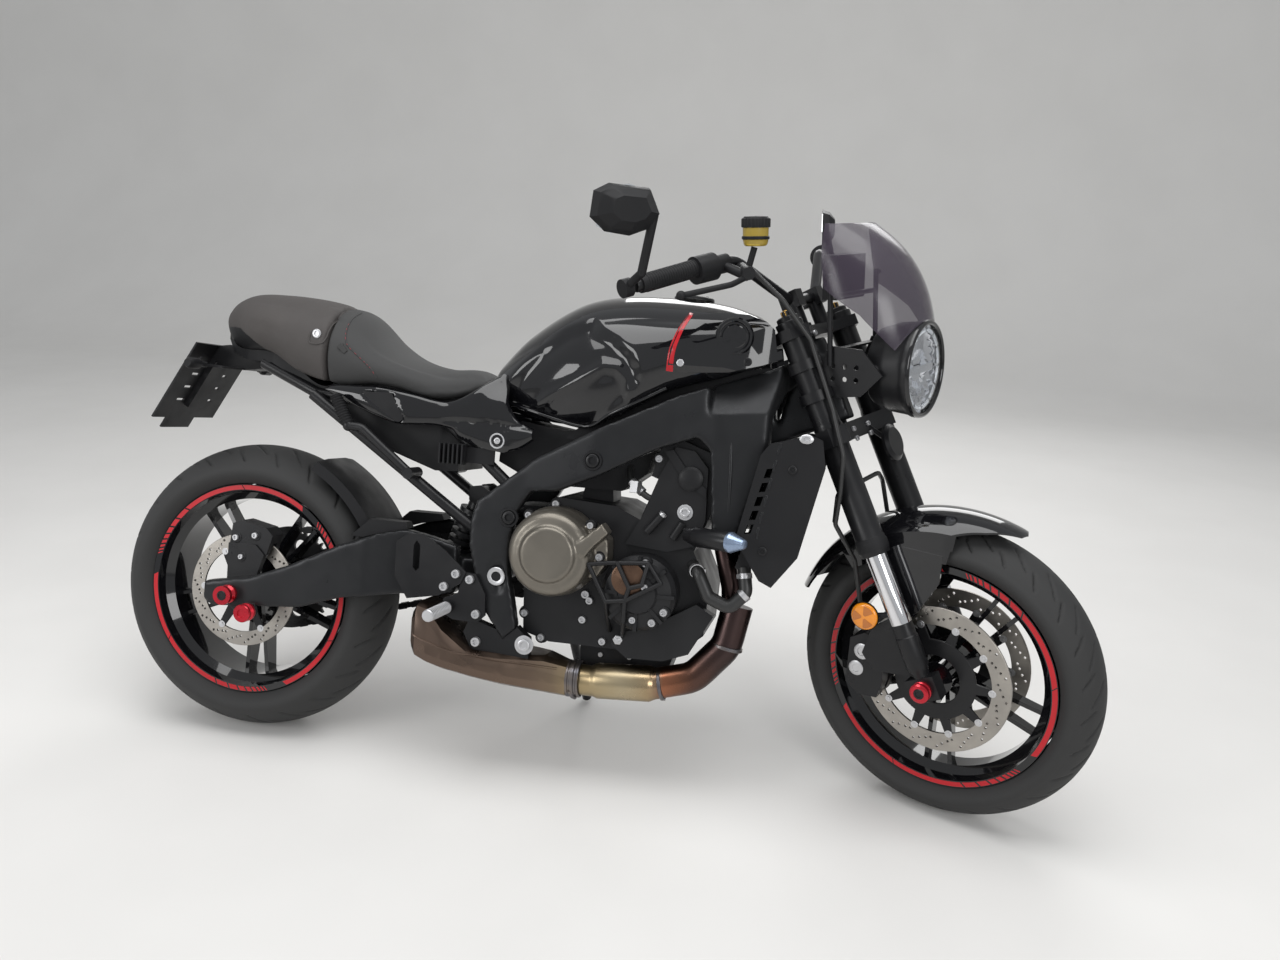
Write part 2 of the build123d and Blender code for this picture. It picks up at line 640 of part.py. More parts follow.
def front_mudguard():
    """Thin arched guard that follows the tyre to a narrow tip, with skirts down to the fork's legs."""
    outer = FRONT_TYRE_R + 33
    thick = 3.0
    edges = [
        ThreePointArc((outer - 34, 0, 70), (outer, 0, 0), (outer - 34, 0, -70)),
        Line((outer - 34, 0, -70), (outer - 92, 0, -73)),
        Line((outer - 92, 0, -73), (outer - 92, 0, thick - 73)),
        Line((outer - 92, 0, thick - 73), (outer - 35, 0, thick - 70)),
        ThreePointArc((outer - 35, 0, thick - 70), (outer - thick, 0, 0), (outer - 35, 0, 70 - thick)),
        Line((outer - 35, 0, 70 - thick), (outer - 92, 0, 73 - thick)),
        Line((outer - 92, 0, 73 - thick), (outer - 92, 0, 73)),
        Line((outer - 92, 0, 73), (outer - 34, 0, 70)),
    ]
    shell = across(revolve(make_face(edges), axis=Axis.Z, revolution_arc=92), 0, 0)
    guard = Pos(WHEELBASE, 0, FRONT_TYRE_R) * (Rot(0, -157, 0) * shell)
    trim = slab([(1640, 600), (1640, 680), (1180, 680), (1180, 425), (1239, 433), (1310, 492), (1380, 528),
                 (1396, 480), (1424, 420), (1452, 424), (1498, 500), (1512, 566), (1560, 588)], -90, 90)
    narrow = plan([(1170, 54), (1260, 64), (1380, 74), (1500, 74), (1570, 50), (1626, 20), (1632, 0),
                   (1626, -20), (1570, -50), (1500, -74), (1380, -74), (1260, -64), (1170, -54)], 380, 700)
    pieces = [guard & carried(trim) & carried(narrow)]
    for side in (-1, 1):
        y0, y1 = sorted((side * 68, side * 73))
        pieces.append(carried(slab([(1374, 524), (1420, 560), (1500, 556), (1496, 500), (1452, 424), (1424, 420),
                                    (1396, 480)], y0, y1)))
        for height in (150, 235):
            stud = Rot(90, 0, 0) * Cylinder(7, LEG_HALF - 69)
            pieces.append(in_fork(Pos(FORK_OFFSET, side * (LEG_HALF + 69) / 2, height) * stud))
    body = joined(pieces)
    for side in (-1, 1):
        bore = turned([(SLIDER_R + FIT, 107), (SLIDER_R + FIT, SEAL_HEIGHT - 0.1)])
        body -= in_fork(Pos(FORK_OFFSET, side * LEG_HALF, 0) * bore)
    return body


HOSE_R = 4.5


def brake_hoses():
    """Front brake hoses: down ahead of the right leg to its caliper, and across to the left one."""
    right = [(1352, -74, 374), (1346, -84, 420), (1330, -88, 520), (1306, -132, 600), (1322, -149, 668),
             (1322, -144, 742), (1290, -126, 820), (1236, -122, 950), (1190, -150, 1024), (1130, -164, 1079)]
    left = [(1352, 74, 374), (1346, 84, 420), (1332, 84, 520), (1316, 60, 650), (1332, 0, 680),
            (1290, -92, 650), (1306, -135, 606)]
    return carried(joined([pipe(right, HOSE_R, 20), pipe(left, HOSE_R, 20)])) - front_calipers() - controls(-1)


@cache
def front_calipers():
    """Radial calipers astride the discs, behind the legs."""
    pieces = []
    for side in (-1, 1):
        outline = [(-62, 100), (-30, 92), (30, 92), (62, 100), (66, 140), (48, 168), (-48, 168), (-66, 140)]
        body = Plane.XZ * make_face(Polyline(*outline, close=True))
        inner, outer = sorted((-side * 29, side * (LEG_HALF - FRONT_DISC_Y - 10.2)))
        body = Pos(0, outer, 0) * extrude(body, amount=outer - inner)
        slot = Rot(90, 0, 0) * Cylinder(FRONT_DISC_R + 6, DISC_T + 2 * DISC_GAP)
        body = (Rot(0, -61, 0) * body) - slot
        pieces.append(in_fork(Pos(FORK_OFFSET, side * FRONT_DISC_Y, 0) * body))
    return group(*pieces)


def front_axle():
    """Hollow axle with a bobbin at each end that guards the fork's feet."""
    shaft = turned([(AXLE_R, -LEG_HALF - 20), (AXLE_R, LEG_HALF + 20)])
    bobbin = [(10, 17.3), (19, 17.3), (19, 22), (13, 25), (19, 28), (19, 34), (15, 36)]
    pieces = [shaft]
    for side in (-1, 1):
        cap = turned([(r, LEG_HALF + h) for r, h in bobbin])
        pieces.append(cap if side > 0 else mirror(cap, about=Plane.XY))
    return across(joined(pieces), WHEELBASE, FRONT_TYRE_R)


def horn():
    """Disc horn under the lamp, on a strap from the lower yoke."""
    dish = turned([(16, 0), (38, 8), (38, 14), (30, 20)])
    body = Pos(1326, 52, 728) * (Rot(0, 68, 0) * dish)
    strap = rod((1282, 38, 766), (1330, 50, 735), 5)
    return carried(body + strap) - lower_yoke()


# Frame: two pressed spars with the head casting between them

SPAR_SIDE = [
    (528, 522), (540, 562), (660, 658), (779, 723), (934, 799), (1029, 835), (1104, 862), (1146, 884),
    (1166, 846), (1142, 760), (1116, 700), (1063, 522), (1018, 535), (1004, 698), (979, 722), (902, 694),
    (785, 630), (706, 594), (652, 590), (622, 540), (613, 474), (616, 420), (628, 370), (640, 312),
    (612, 286), (561, 350), (528, 471),
]
SPAR_PLAN = [(500, 148), (640, 152), (780, 168), (930, 164), (1010, 152), (1110, 146), (1140, 74),
             (1170, 52), (1170, 34), (997.5, 34), (997, 126), (930, 128), (780, 136), (640, 122), (500, 116)]
SPAR_FRONT = [(124, 200), (170, 200), (170, 735), (150, 770), (112, 835), (92, 900), (34, 900), (34, 862),
              (70, 822), (124, 768)]


@cache
def spar(side):
    """Twin-spar half: the beam curves in to the head while its front leg stays wide of the engine."""
    outline = SPAR_PLAN if side > 0 else mirrored(SPAR_PLAN)
    front = [(997, y, z) for y, z in (SPAR_FRONT if side > 0 else mirrored_front(SPAR_FRONT))]
    converging = extrude(make_face(Polyline(*front, close=True)), amount=200, dir=(1, 0, 0))
    rear_room = plan([(400, -200), (400, 200), (997, 200), (997, -200)], 200, 950)
    outline = [(x + FRONT_MOVE[0] * share(x, 1000, 1100), y) for x, y in outline]
    body = slab(reaching(SPAR_SIDE), -200, 200) & plan(outline, 200, 950)
    body = (body & rear_room) + (body & converging)
    bore = across(Cylinder(15 + FIT, 60), PIVOT[0], PIVOT[1], side * 132)
    recess = [(584, 384), (592, 375), (602, 377), (609, 392), (607, 434), (598, 447), (586, 445), (578, 430)]
    return body - bore - slab(recess, *sorted((side * 146, side * 170)))


def frame_head():
    """Head casting: the tube that the steering turns in, boxed between the spars."""
    low, high = LOWER_YOKE[1] + CLEAR, UPPER_YOKE[0] - CLEAR
    tube = in_fork(turned([(HEAD_TUBE_R, low), (HEAD_TUBE_R, high)]))
    box = slab([(1112, 704), (1150, 882), (1172, 900), (1212, 905), (1262, 788), (1222, 760)], -33.7, 33.7)
    keep = in_fork(turned([(260, low), (260, high)]))
    web = slab(reaching([(1060, 720), (1060, 842), (1116, 862), (1116, 716)]), -33.7, 33.7)
    body = (tube + (carried(box) & keep)) + web
    return body - in_fork(turned([(STEM_R + FIT, low - 1), (STEM_R + FIT, high + 1)]))


def cross_member():
    """Tube and lug between the pivot plates that carry the shock's top."""
    bar = rod((560, -115.7, 530), (560, 115.7, 530), 22)
    outline = [(545, 512), (486, 552), (486, 580), (510, 584), (575, 548)]
    cheeks = [slab(outline, *sorted((side * 35, side * 43))) for side in (-1, 1)]
    return joined([bar] + cheeks)


@cache
def subframe():
    """Tubes that carry the seat, left and right, with their ties."""
    pieces = []
    for side in (-1, 1):
        y = side * 86
        top = pipe([(10, side * 66, 810), (150, y, 753), (420, y, 734), (600, side * 104, 588)], 12, 40)
        low = rod((152, side * 110, 751), (541, side * 102, 486), 12)
        foot = rod((541, side * 94, 486), (541, side * 126, 486), 13)
        upper_foot = rod((600, side * 94, 588), (600, side * 128, 588), 13)
        pieces += [top, low, foot, upper_foot]
    for x, half, z, radius in ((166, 109, 741.5, 8), (26, 68, 803.5, 9), (500, 94, 669, 9)):
        pieces.append(rod((x, -half, z), (x, half, z), radius))
    return joined(pieces) - spar(-1) - spar(1)


ARM_SIDE = [
    (-62, 300), (-58, 338), (42, 354), (133, 389), (243, 442), (330, 475), (385, 487), (440, 477), (560, 448),
    (622, 436), (622, 388), (560, 378), (437, 353), (382, 353), (250, 331), (161, 302), (45, 292), (-40, 286),
]


def swingarm():
    """Alloy swingarm: a deep arm each side, boxed together ahead of the tyre."""
    pieces = []
    side_view = slab(trailing(ARM_SIDE), -200, 200)
    for side, near in ((-1, ARM_INNER_RIGHT), (1, ARM_INNER_LEFT)):
        rows = [(-70, near), (300, near), (400, near - 8), (500, 106), (500, 136), (400, near + 18),
                (300, near + ARM_T), (-70, near + ARM_T)]
        pieces.append(side_view & plan([(x, side * y) for x, y in rows], 200, 600))
    cross = slab([(372, 366), (372, 428), (560, 440), (560, 386), (460, 360)], -107, 112)
    pieces.append(cross & plan([(372, -107), (372, 112), (500, 112), (560, 90), (560, -107)], 300, 500))
    bearing = across(ring(27, 15 + FIT, -PIVOT_HALF + 4, PIVOT_HALF - 4), PIVOT[0], PIVOT[1])
    pieces.append(bearing)
    body = joined(pieces)
    body -= across(turned([(AXLE_R + FIT, -220), (AXLE_R + FIT, 220)]), 0, REAR_TYRE_R)
    shock_room = rod(toward(SHOCK_FOOT, SHOCK_TOP, -60), SHOCK_TOP, SHOCK_ROOM_R)
    body = body - shock_room - chain_room()
    return max(body.solids(), key=lambda solid: solid.volume)


def pivot_bolt():
    return across(turned([(15, -151.8), (15, 151.8)]), *PIVOT)


def rear_axle():
    """Axle through both arms, with red-capped bobbins outside."""
    right = ARM_INNER_RIGHT + ARM_T
    left = ARM_INNER_LEFT + ARM_T
    rows = [(20, -right - 26), (20, -right - 18), (14, -right - 14), (20, -right - 6), (20, -right - 0.1),
            (AXLE_R, -right - 0.1), (AXLE_R, left + 0.1), (20, left + 0.1), (20, left + 10), (14, left + 12)]
    return across(turned(rows), 0, REAR_TYRE_R)


def rear_caliper():
    """Single-piston caliper over the disc, hung on a plate round the axle."""
    outline = [(-44, 96), (44, 96), (48, 140), (30, 152), (-30, 152), (-48, 140)]
    body = extrude(Plane.XZ * make_face(Polyline(*outline, close=True)), amount=23, both=True)
    body = Rot(0, 12, 0) * body
    slot = Rot(90, 0, 0) * Cylinder(REAR_DISC_R + 6, DISC_T + 2 * DISC_GAP)
    body = Pos(0, -REAR_DISC_Y, REAR_TYRE_R) * (body - slot)
    hanger = slab([(-24, 300), (-24, 420), (40, 420), (60, 400), (26, 300)], -ARM_INNER_RIGHT + 0.2, -101)
    hanger = Pos(0, 0, REAR_MOVE) * hanger
    hanger -= across(Cylinder(AXLE_R + FIT, 60), 0, REAR_TYRE_R, -108)
    return body + hanger


SHOCK_FOOT = (440.0, 0.0, 384.0)
SHOCK_TOP = (500.0, 0.0, 566.0)
SHOCK_ROOM_R = 42.0


def shock():
    """Coil-over shock: body, spring coils and eyes."""
    low, high = Vector(*SHOCK_FOOT), Vector(*SHOCK_TOP)
    pieces = [
        rod(low, high, 20),
        rod((low.X, -40, low.Z), (low.X, 40, low.Z), 13),
        rod((high.X, -34.9, high.Z), (high.X, 34.9, high.Z), 13),
    ]
    axis = (high - low).normalized()
    length = (high - low).length
    for turn in range(7):
        centre = low + axis * (length * (0.2 + 0.09 * turn))
        pieces.append(rod(centre, centre + axis * 9, 33))
    return joined(pieces)


def hugger():
    """Short rear guard that follows the tyre above the swingarm."""
    outer = REAR_TYRE_R + 22
    rows = [(outer - 26, 92), (outer - 6, 84), (outer, 40), (outer, -40), (outer - 6, -84), (outer - 26, -92)]
    thick = 3.0
    inner = [(r - thick, y * (1 - thick / 92)) for r, y in rows]
    inner[0] = (rows[0][0], rows[0][1] - thick)
    inner[-1] = (rows[-1][0], rows[-1][1] + thick)
    wire = Polyline(*[(r, 0, y) for r, y in rows + inner[::-1]], close=True)
    shell = revolve(make_face(wire), axis=Axis.Z, revolution_arc=44)
    guard = Pos(0, 0, REAR_TYRE_R) * (Rot(0, -62, 0) * across(shell, 0, 0))
    pieces = [guard]
    for side in (-1, 1):
        near = ARM_INNER_RIGHT if side < 0 else ARM_INNER_LEFT
        y0, y1 = sorted((side * 86, side * (near + 4)))
        pieces.append(slab([(258, 462), (276, 478), (300, 500), (378, 500), (384, 487.2), (330, 475.2),
                            (286, 461)], y0, y1))
    return joined(pieces)


# Engine: block, open covers and what hangs on it

@cache
def engine_block():
    """Crankcase, leaning cylinders and head as one closed casting."""
    sump = slab([(752, 300), (758, 232), (790, 208), (930, 206), (960, 300)], -62, 62)
    case = slab([(644, 300), (700, 284), (960, 284), (1014, 330), (1018, 420), (980, 500), (820, 572),
                 (700, 580), (652, 540), (636, 470)], -CASE_HALF, CASE_HALF)
    tilt = math.tan(CYLINDER_TILT * DEG)

    def along(height, offset):
        x = CRANK[0] + offset * math.cos(CYLINDER_TILT * DEG) + height * math.sin(CYLINDER_TILT * DEG)
        z = CRANK[1] + height * math.cos(CYLINDER_TILT * DEG) - offset * math.sin(CYLINDER_TILT * DEG)
        return (x, z)

    cylinders = slab([along(60, -62), along(210, -62), along(210, 62), along(60, 62)], -110, 110)
    head = slab([along(210, -76), along(300, -84), along(300, 74), along(210, 62)], -112, 112)
    cover = slab([along(300, -78), along(340, -60), along(340, 40), along(300, 70)], -96, 96)
    pocket = across(turned([(SPROCKET_ROOM_R, 92), (SPROCKET_ROOM_R, 140)]), *SPROCKET)
    hangers = [
        slab([(598, 518), (670, 518), (670, 552), (598, 552)], -50, 50),
        rod((608, -128, 535), (608, 128, 535), 12),
        slab([(728, 560), (800, 560), (788, 676), (752, 676)], -40, 40),
        rod((770, -150, 661), (770, 150, 661), 13),
        rod((1030, -134, 640), (1030, 134, 640), 13),
    ]
    return joined([sump, case, cylinders, head, cover] + hangers) - pocket - spar(-1) - spar(1)


def sprocket_cover():
    """Cast cover over the front sprocket, open to the rear for the chain."""
    outline = [(630, 366), (630, 476), (690, 490), (732, 446), (728, 386), (690, 356)]
    cover = slab(outline, CASE_HALF + 0.2, CASE_HALF + 26)
    room = across(turned([(SPROCKET_ROOM_R, 92), (SPROCKET_ROOM_R, CASE_HALF + 16)]), *SPROCKET)
    exit_slot = slab([(560, 362), (560, 478), (655, 478), (655, 362)], 90, CASE_HALF + 16)
    return cover - room - exit_slot


def clutch_cover():
    """Stepped dome over the clutch, with the release housing on its upper front."""
    rows = [(90, 0), (90, 30), (86, 40), (85, 66), (80, 78), (72, 84), (57, 86), (54, 93), (50, 96)]
    dome = across(turned(rows), CLUTCH[0], CLUTCH[1], -CASE_HALF - 0.2, -1)
    neck = slab([(720, 500), (780, 540), (820, 508), (822, 466), (800, 432), (740, 430)], -168, -CASE_HALF - 0.2)
    housing = slab([(744, 490), (762, 499), (812, 544), (826, 526), (797, 497), (780, 474)], -200, -160)
    return joined([dome, neck, housing])


def ignition_cover():
    """Ribbed round cover on the crank's right end."""
    rows = [(74, 0), (74, 50), (66, 60), (40, 66), (36, 72)]
    dome = across(turned(rows), CRANK[0], CRANK[1] - 4, -CASE_HALF - 0.2, -1)
    ribs = []
    for n in range(8):
        rib = Pos(50, 0, 0) * Box(46, 7, 68, align=(Align.CENTER, Align.CENTER, Align.MIN))
        ribs.append(Rot(0, 0, n * 45) * rib)
    return dome + across(joined(ribs), CRANK[0], CRANK[1] - 4, -CASE_HALF - 0.2, -1)


def generator_cover():
    rows = [(82, 0), (82, 60), (74, 74), (44, 82), (40, 88)]
    return across(turned(rows), CRANK[0], CRANK[1], CASE_HALF + 0.2, 1)


def head_covers():
    """Chain-case cover at the cylinders' right and the plain cover at their left."""
    outline = [(846, 500), (880, 566), (905, 640), (934, 700), (972, 694), (1000, 662), (1002, 560), (985, 508),
               (930, 492)]
    boss = across(turned([(24, 0), (24, 7), (18, 10)]), 968, 640, -123, -1)
    ridge = slab([(912, 690), (930, 694), (962, 652), (1000, 622), (1000, 604), (950, 640)], -128, -123)
    right = slab(outline, -124, -CASE_HALF - 0.2) + boss + ridge
    left = slab([(891, 574), (902, 676), (960, 690), (996, 668), (1000, 560), (960, 545)], CASE_HALF + 0.2, 124)
    return group(right - ignition_cover(), left - generator_cover())


def side_guard():
    """Dark guard low on the engine's right, over the water pump."""
    outline = [(834, 300), (862, 328), (909, 342), (999, 396), (1034, 376), (990, 296), (940, 277), (867, 275)]
    return slab(outline, -140, -CASE_HALF - 0.2) - ignition_cover() - collector(COLLECTOR_R + 6)


HEADER_R = 19.0
RADIATOR_HALF = 148.0
COWL_T = 32.0
COLLECTOR_R = 31.0


@cache
def collector(radius):
    """The fat pipe that drops ahead of the engine and runs back under it to the silencer."""
    points = [(1076, -95, 396), (1060, -100, 312), (1000, -106, 244), (912, -108, 219), (812, -108, 213),
              (742, -108, 213)]
    return pipe(points, radius, 60)


def exhaust_headers():
    """Three pipes from the head that sweep down behind the radiator into one."""
    pieces = [collector(COLLECTOR_R)]
    for y in (-86, 0, 86):
        points = [(1032, y, 634), (1062, y, 616), (1038, y, 508), (1060, -80 + 0.2 * y, 430),
                  (1067, -97 + 0.05 * y, 350)]
        pieces.append(pipe(points, HEADER_R, 26))
    belly = Plane(origin=(928, -107.5, 222), z_dir=(-1, 0, -0.06)) * turned(
        [(COLLECTOR_R - 1, 0), (COLLECTOR_R + 5, 14), (COLLECTOR_R + 5, 120), (COLLECTOR_R - 1, 136)])
    return joined(pieces + [belly]) - engine_block() - muffler()


MUFFLER_ROWS = (
    (424, -166, -20, 246, 330, 20),
    (434, -174, 4, 232, 346, 22),
    (456, -176, 14, 222, 342, 24),
    (490, -176, 20, 213, 302, 24),
    (550, -173, 12, 203, 258, 22),
    (615, -168, -8, 193, 256, 24),
    (700, -152, -50, 183, 258, 26),
    (746, -144, -72, 178, 249, 26),
)


@cache
def muffler():
    """Short box silencer under the frame, swelling from the pipe to its slanted rear."""
    return loft([box_section(*row) for row in MUFFLER_ROWS], ruled=True)


def muffler_stay():
    """Bracket from the right pivot plate that holds the silencer."""
    plate = slab([(540, 322), (528, 292), (556, 240), (668, 240), (666, 292), (640, 314), (612, 300)], -146, -122)
    return plate - muffler() - spar(-1)


@cache
def airbox():
    """Air filter box between the spars, under the tank."""
    box = slab([(556, 640), (560, 700), (600, 727), (690, 714), (770, 722), (850, 762), (884, 700), (872, 640),
                (820, 600), (640, 600)], -70, 70)
    return box - engine_block() - fuel_tank()


def coolant_hose():
    """Hose from the engine's right up to the radiator's foot."""
    points = [(985, -112.3, 468), (998, -148, 462), (1022, -152, 416), (1064, -150, 398), (1094, -146, 430),
              (1086, -138, 478)]
    return pipe(points, 13, 18) - engine_block() - radiator()


@cache
def radiator():
    """Core between its tanks, with cooling fins across the face."""
    core = Box(26, 2 * RADIATOR_HALF, 226)
    fins = [Pos(15, 0, -105 + 21 * n) * Box(4, 2 * RADIATOR_HALF - 12, 3) for n in range(11)]
    body = Pos(1112, 0, 582) * (Rot(0, 16, 0) * joined([core] + fins))
    mounts = [rod((1120, side * 135, 648), (1080, side * 135, 648), 9) for side in (-1, 1)]
    return joined([body] + mounts) - spar(-1) - spar(1)


def radiator_cowl(side):
    """Matte side cover of the radiator, slotted along its rear."""
    outline = [(1104, 700), (1120, 722), (1196, 742), (1216, 734), (1225, 683), (1187, 512), (1142, 451),
               (1118, 462), (1068, 536)]
    y0, y1 = sorted((side * (RADIATOR_HALF + 6), side * (RADIATOR_HALF + 6 + COWL_T)))
    panel = slab(outline, y0, y1)
    for n in range(5):
        low = 548 + 27 * n
        slot = slab([(1084 + 7 * n, low), (1096 + 7 * n, low + 2), (1101 + 7 * n, low + 20),
                     (1089 + 7 * n, low + 18)], -220, 220)
        panel -= slot
    stay = rod((1128, side * (RADIATOR_HALF + 0.2), 640), (1128, side * (RADIATOR_HALF + 7), 640), 10)
    return panel + stay


# Body

TANK_ROWS = (
    (526, 768, 48, 786, 56, 806, 46, 818),
    (545, 752, 66, 790, 78, 828, 60, 848),
    (600, 740, 86, 800, 112, 866, 84, 908),
    (700, 728, 112, 812, 150, 916, 114, 975),
    (790, 742, 130, 835, 167, 936, 127, 998),
    (912, 808, 134, 868, 168, 942, 130, 1001),
    (1010, 840, 120, 885, 150, 938, 118, 991),
    (1080, 866, 98, 895, 124, 930, 98, 970),
)


@cache
def fuel_tank():
    return domed_body(TANK_ROWS)


def tank_cowl(side):
    """Side cover of the tank's front, ahead of the stripe, that leans in with the tank."""
    outline = [(911, 842), (915, 887), (929, 930), (940, 958), (1010, 966), (1070, 964), (1094, 950), (1120, 926),
               (1142, 890), (1092, 868), (1030, 850)]
    front = [(84, 838), (152, 838), (169, 858), (172, 892), (162, 926), (142, 950), (122, 966), (84, 968)]
    seen = [(905, 172), (1000, 172), (1056, 164), (1104, 146), (1150, 116), (1150, 84), (905, 84)]
    if side < 0:
        front, seen = mirrored_front(front), mirrored(seen)
    section = extrude(make_face(Polyline(*[(900, y, z) for y, z in front], close=True)), amount=260, dir=(1, 0, 0))
    block = slab(outline, -200, 200) & section
    low, top = UPPER_YOKE[0] - 12, UPPER_YOKE[1] + 200
    turning_room = in_fork(turned([(LEG_ROOM_R, LOWER_YOKE[0]), (LEG_ROOM_R, low), (YOKE_ROOM_R, low), (YOKE_ROOM_R, top)]))
    return (block & plan(seen, 800, 1000)) - fuel_tank() - spar(side) - turning_room


def tank_rests():
    """Lugs on the head casting and the rear tie that the tank lies on."""
    front = slab([(1062, 849.5), (1062, 884), (1096, 884), (1100, 862.5)], -22, 22)
    rear = rod((500, 0, 676), (548, 0, 776), 8)
    return group(front - fuel_tank() - frame_head(), rear - fuel_tank() - subframe())


SEAT_ROWS = (
    (182, 776, 114, 842, 134, 918, 92, 949),
    (236, 779, 122, 815, 137, 884, 97, 927),
    (285, 784, 128, 805, 141, 846, 108, 878),
    (340, 780, 131, 796, 143, 822, 116, 842),
    (420, 763, 118, 782, 126, 803, 98, 824),
    (484, 772, 84, 792, 90, 810, 70, 827),
    (523, 796, 60, 802, 64, 808, 54, 817),
)
COWL_ROWS = (
    (-102, 884, 30, 898, 36, 912, 27, 922),
    (-78, 852, 50, 894, 60, 932, 40, 945),
    (-36, 838, 72, 888, 90, 938, 60, 961),
    (36, 834, 92, 882, 114, 934, 78, 963),
    (104, 800, 106, 858, 128, 926, 88, 959),
    (181.6, 776, 114, 842, 134, 918, 92, 949),
)


@cache
def seat():
    return domed_body(SEAT_ROWS)


@cache
def seat_cowl():
    return domed_body(COWL_ROWS)


@cache
def seat_base():
    """Dark pan under the seat and cowl, that rests on the subframe."""
    rows = COWL_ROWS + SEAT_ROWS
    top = [(row[0], row[1] + 4) for row in rows[:-1]]
    bottom = [(row[0], row[1] - 22) for row in rows[:-1]]
    outline = [(-100, 24), (-70, 46), (-30, 64), (40, 80), (480, 80)]
    pan = slab(top + bottom[::-1], -80, 80) & plan(outline + mirrored(outline)[::-1], 700, 900)
    return pan - seat() - seat_cowl() - subframe()


@cache
def battery_box():
    """Tray under the seat for the battery, hung between the rails."""
    box = slab([(196, 752), (196, 712), (300, 650), (420, 610), (470, 612), (470, 690), (430, 728), (300, 748)],
               -78, 78)
    return box - subframe() - seat_base()


def regulator():
    """Finned voltage regulator on its plate under the right side cover."""
    pieces = [
        slab([(449, 630), (502, 630), (502, 672), (449, 672)], -128, -116),
        slab([(440, 634), (560, 634), (560, 666), (440, 666)], -116.1, -110),
    ]
    for n in range(6):
        x = 450 + 9.6 * n
        pieces.append(slab([(x, 631), (x + 3.4, 631), (x + 3.4, 671), (x, 671)], -142, -127))
    return joined(pieces) - subframe()


def side_cover(side):
    """Gloss cover below the seat, from the seat's kink to the tank, bowed outward."""
    outline = [(186, 760), (200, 776), (330, 764), (430, 748), (510, 772), (560, 760), (596, 736), (641, 719),
               (622, 698), (540, 710), (444, 716), (362, 702), (300, 716)]
    seen = [(180, 104), (180, 122), (260, 133), (360, 136), (460, 129), (560, 128), (650, 132), (650, 104)]
    panel = slab(outline, -140, 140) & plan(seen if side > 0 else mirrored(seen), 650, 850)
    return panel - subframe() - seat() - seat_cowl() - fuel_tank() - spar(side)


PLATE_HOLE_R = 3.5
PLATE_HOLE_SPACING = 140.0
PLATE_FRAME = Plane(origin=(-122, 0, 842), x_dir=(0, 1, 0), z_dir=(-0.8566, 0, 0.5160))
PLATE_HOLE_DOWN = 34.0


def plate_holder():
    """Arm under the tail, flat cross piece with two lamps, and the tilted plate."""
    arm = slab([(-128, 794), (-128, 842), (-96, 846), (-60, 838), (40, 838), (40, 806), (-60, 792)], -28, 28)
    bar = slab([(-128, 794), (-128, 800), (-60, 796), (-60, 792)], -112, 112)
    plate = Pos(0, 97, 2) * Box(222, 194, 4)
    backing = Pos(0, 84, -6) * Box(56, 150, 12.2)
    tab = Pos(-12, 206, 2) * Box(100, 30, 4)
    tilted = joined([plate, backing, tab])
    for side in (-1, 1):
        tilted -= Pos(side * PLATE_HOLE_SPACING / 2, PLATE_HOLE_DOWN, 0) * Cylinder(PLATE_HOLE_R, 40)
        for row in (0, 1, 2):
            tilted -= Pos(side * 52, 78 + 34 * row, 2) * Box(26, 7, 10)
    pods = []
    for s in (-1, 1):
        pods.append(rod((-104, s * 104, 797), (-108, s * 124, 798), 6))
        pods.append(Plane(origin=(-108, s * 122, 798), z_dir=(0, s, 0)) * turned([(7, 0), (12, 6), (12, 34), (8, 42)]))
    return joined([arm, bar, PLATE_FRAME.location * tilted] + pods) - subframe() - seat_base() - seat_cowl()


def rear_step(side):
    """Folded passenger peg on its bracket."""
    y = side * 148
    bar = pipe([(392, y, 606), (284, y, 690), (254, y, 692)], 9, 20)
    peg = rod((254, y, 692), (222, y, 752), 11)
    tie = rod((394, side * 162, 605), (394, side * 108, 605), 11.5)
    return joined([bar, peg, tie, Pos(254, y, 692) * Sphere(11.5)]) - subframe()


def rider_step(side):
    """Rider's peg on its arm, with the heel guard outside it."""
    arm = slab([(528, 416), (552, 414), (574, 376), (576, 332), (560, 316), (508, 318), (484, 330), (486, 358),
                (516, 372)], *sorted((side * 152.3, side * 160)))
    guard = slab([(380, 466), (405, 484), (437, 486), (486, 457), (532, 417), (522, 393), (477, 364), (409, 351),
                  (380, 395)], *sorted((side * 159.9, side * 163)))
    slot = slab([(418, 416), (418, 462), (424, 472), (432, 462), (432, 416), (425, 409)], *sorted((side * 150, side * 170)))
    peg = rod((500, side * 156, 344), (492, side * 256, 340), 10)
    spacer = rod((566, side * 149, 366), (566, side * 153, 366), 9)
    return joined([arm, guard, peg, spacer]) - slot - spar(side)


def crash_slider(side):
    """Impact bobbin on an arm bolted to the engine's front mount."""
    arm = slab([(966, 522), (966, 546), (1056, 546), (1056, 522)], *sorted((side * 153, side * 168)))
    foot = rod((1044, side * 150.9, 534), (1044, side * 160, 534), 12)
    rows = [(11, 0), (18, 24), (19, 26), (19, 112), (17, 116), (8, 142), (5, 143)]
    bobbin = Plane(origin=(972, side * 166, 533), z_dir=(107, side * 70, 2)) * turned(rows)
    return joined([arm, foot, bobbin])


def stand_points():
    """Foot of the side stand in the bike's frame, from its place on the floor."""
    pivot = (684.0, 138.5, 262.0)
    foot = to_bike_point((STAND_FOOT[0], STAND_FOOT[1], 8.0))
    return pivot, foot


def stand_bracket():
    return joined([
        slab([(655, 238), (655, 330), (730, 330), (716, 238)], CASE_HALF + 0.2, 122),
        rod((684, 121, 262), (684, 127, 262), 16),
    ])


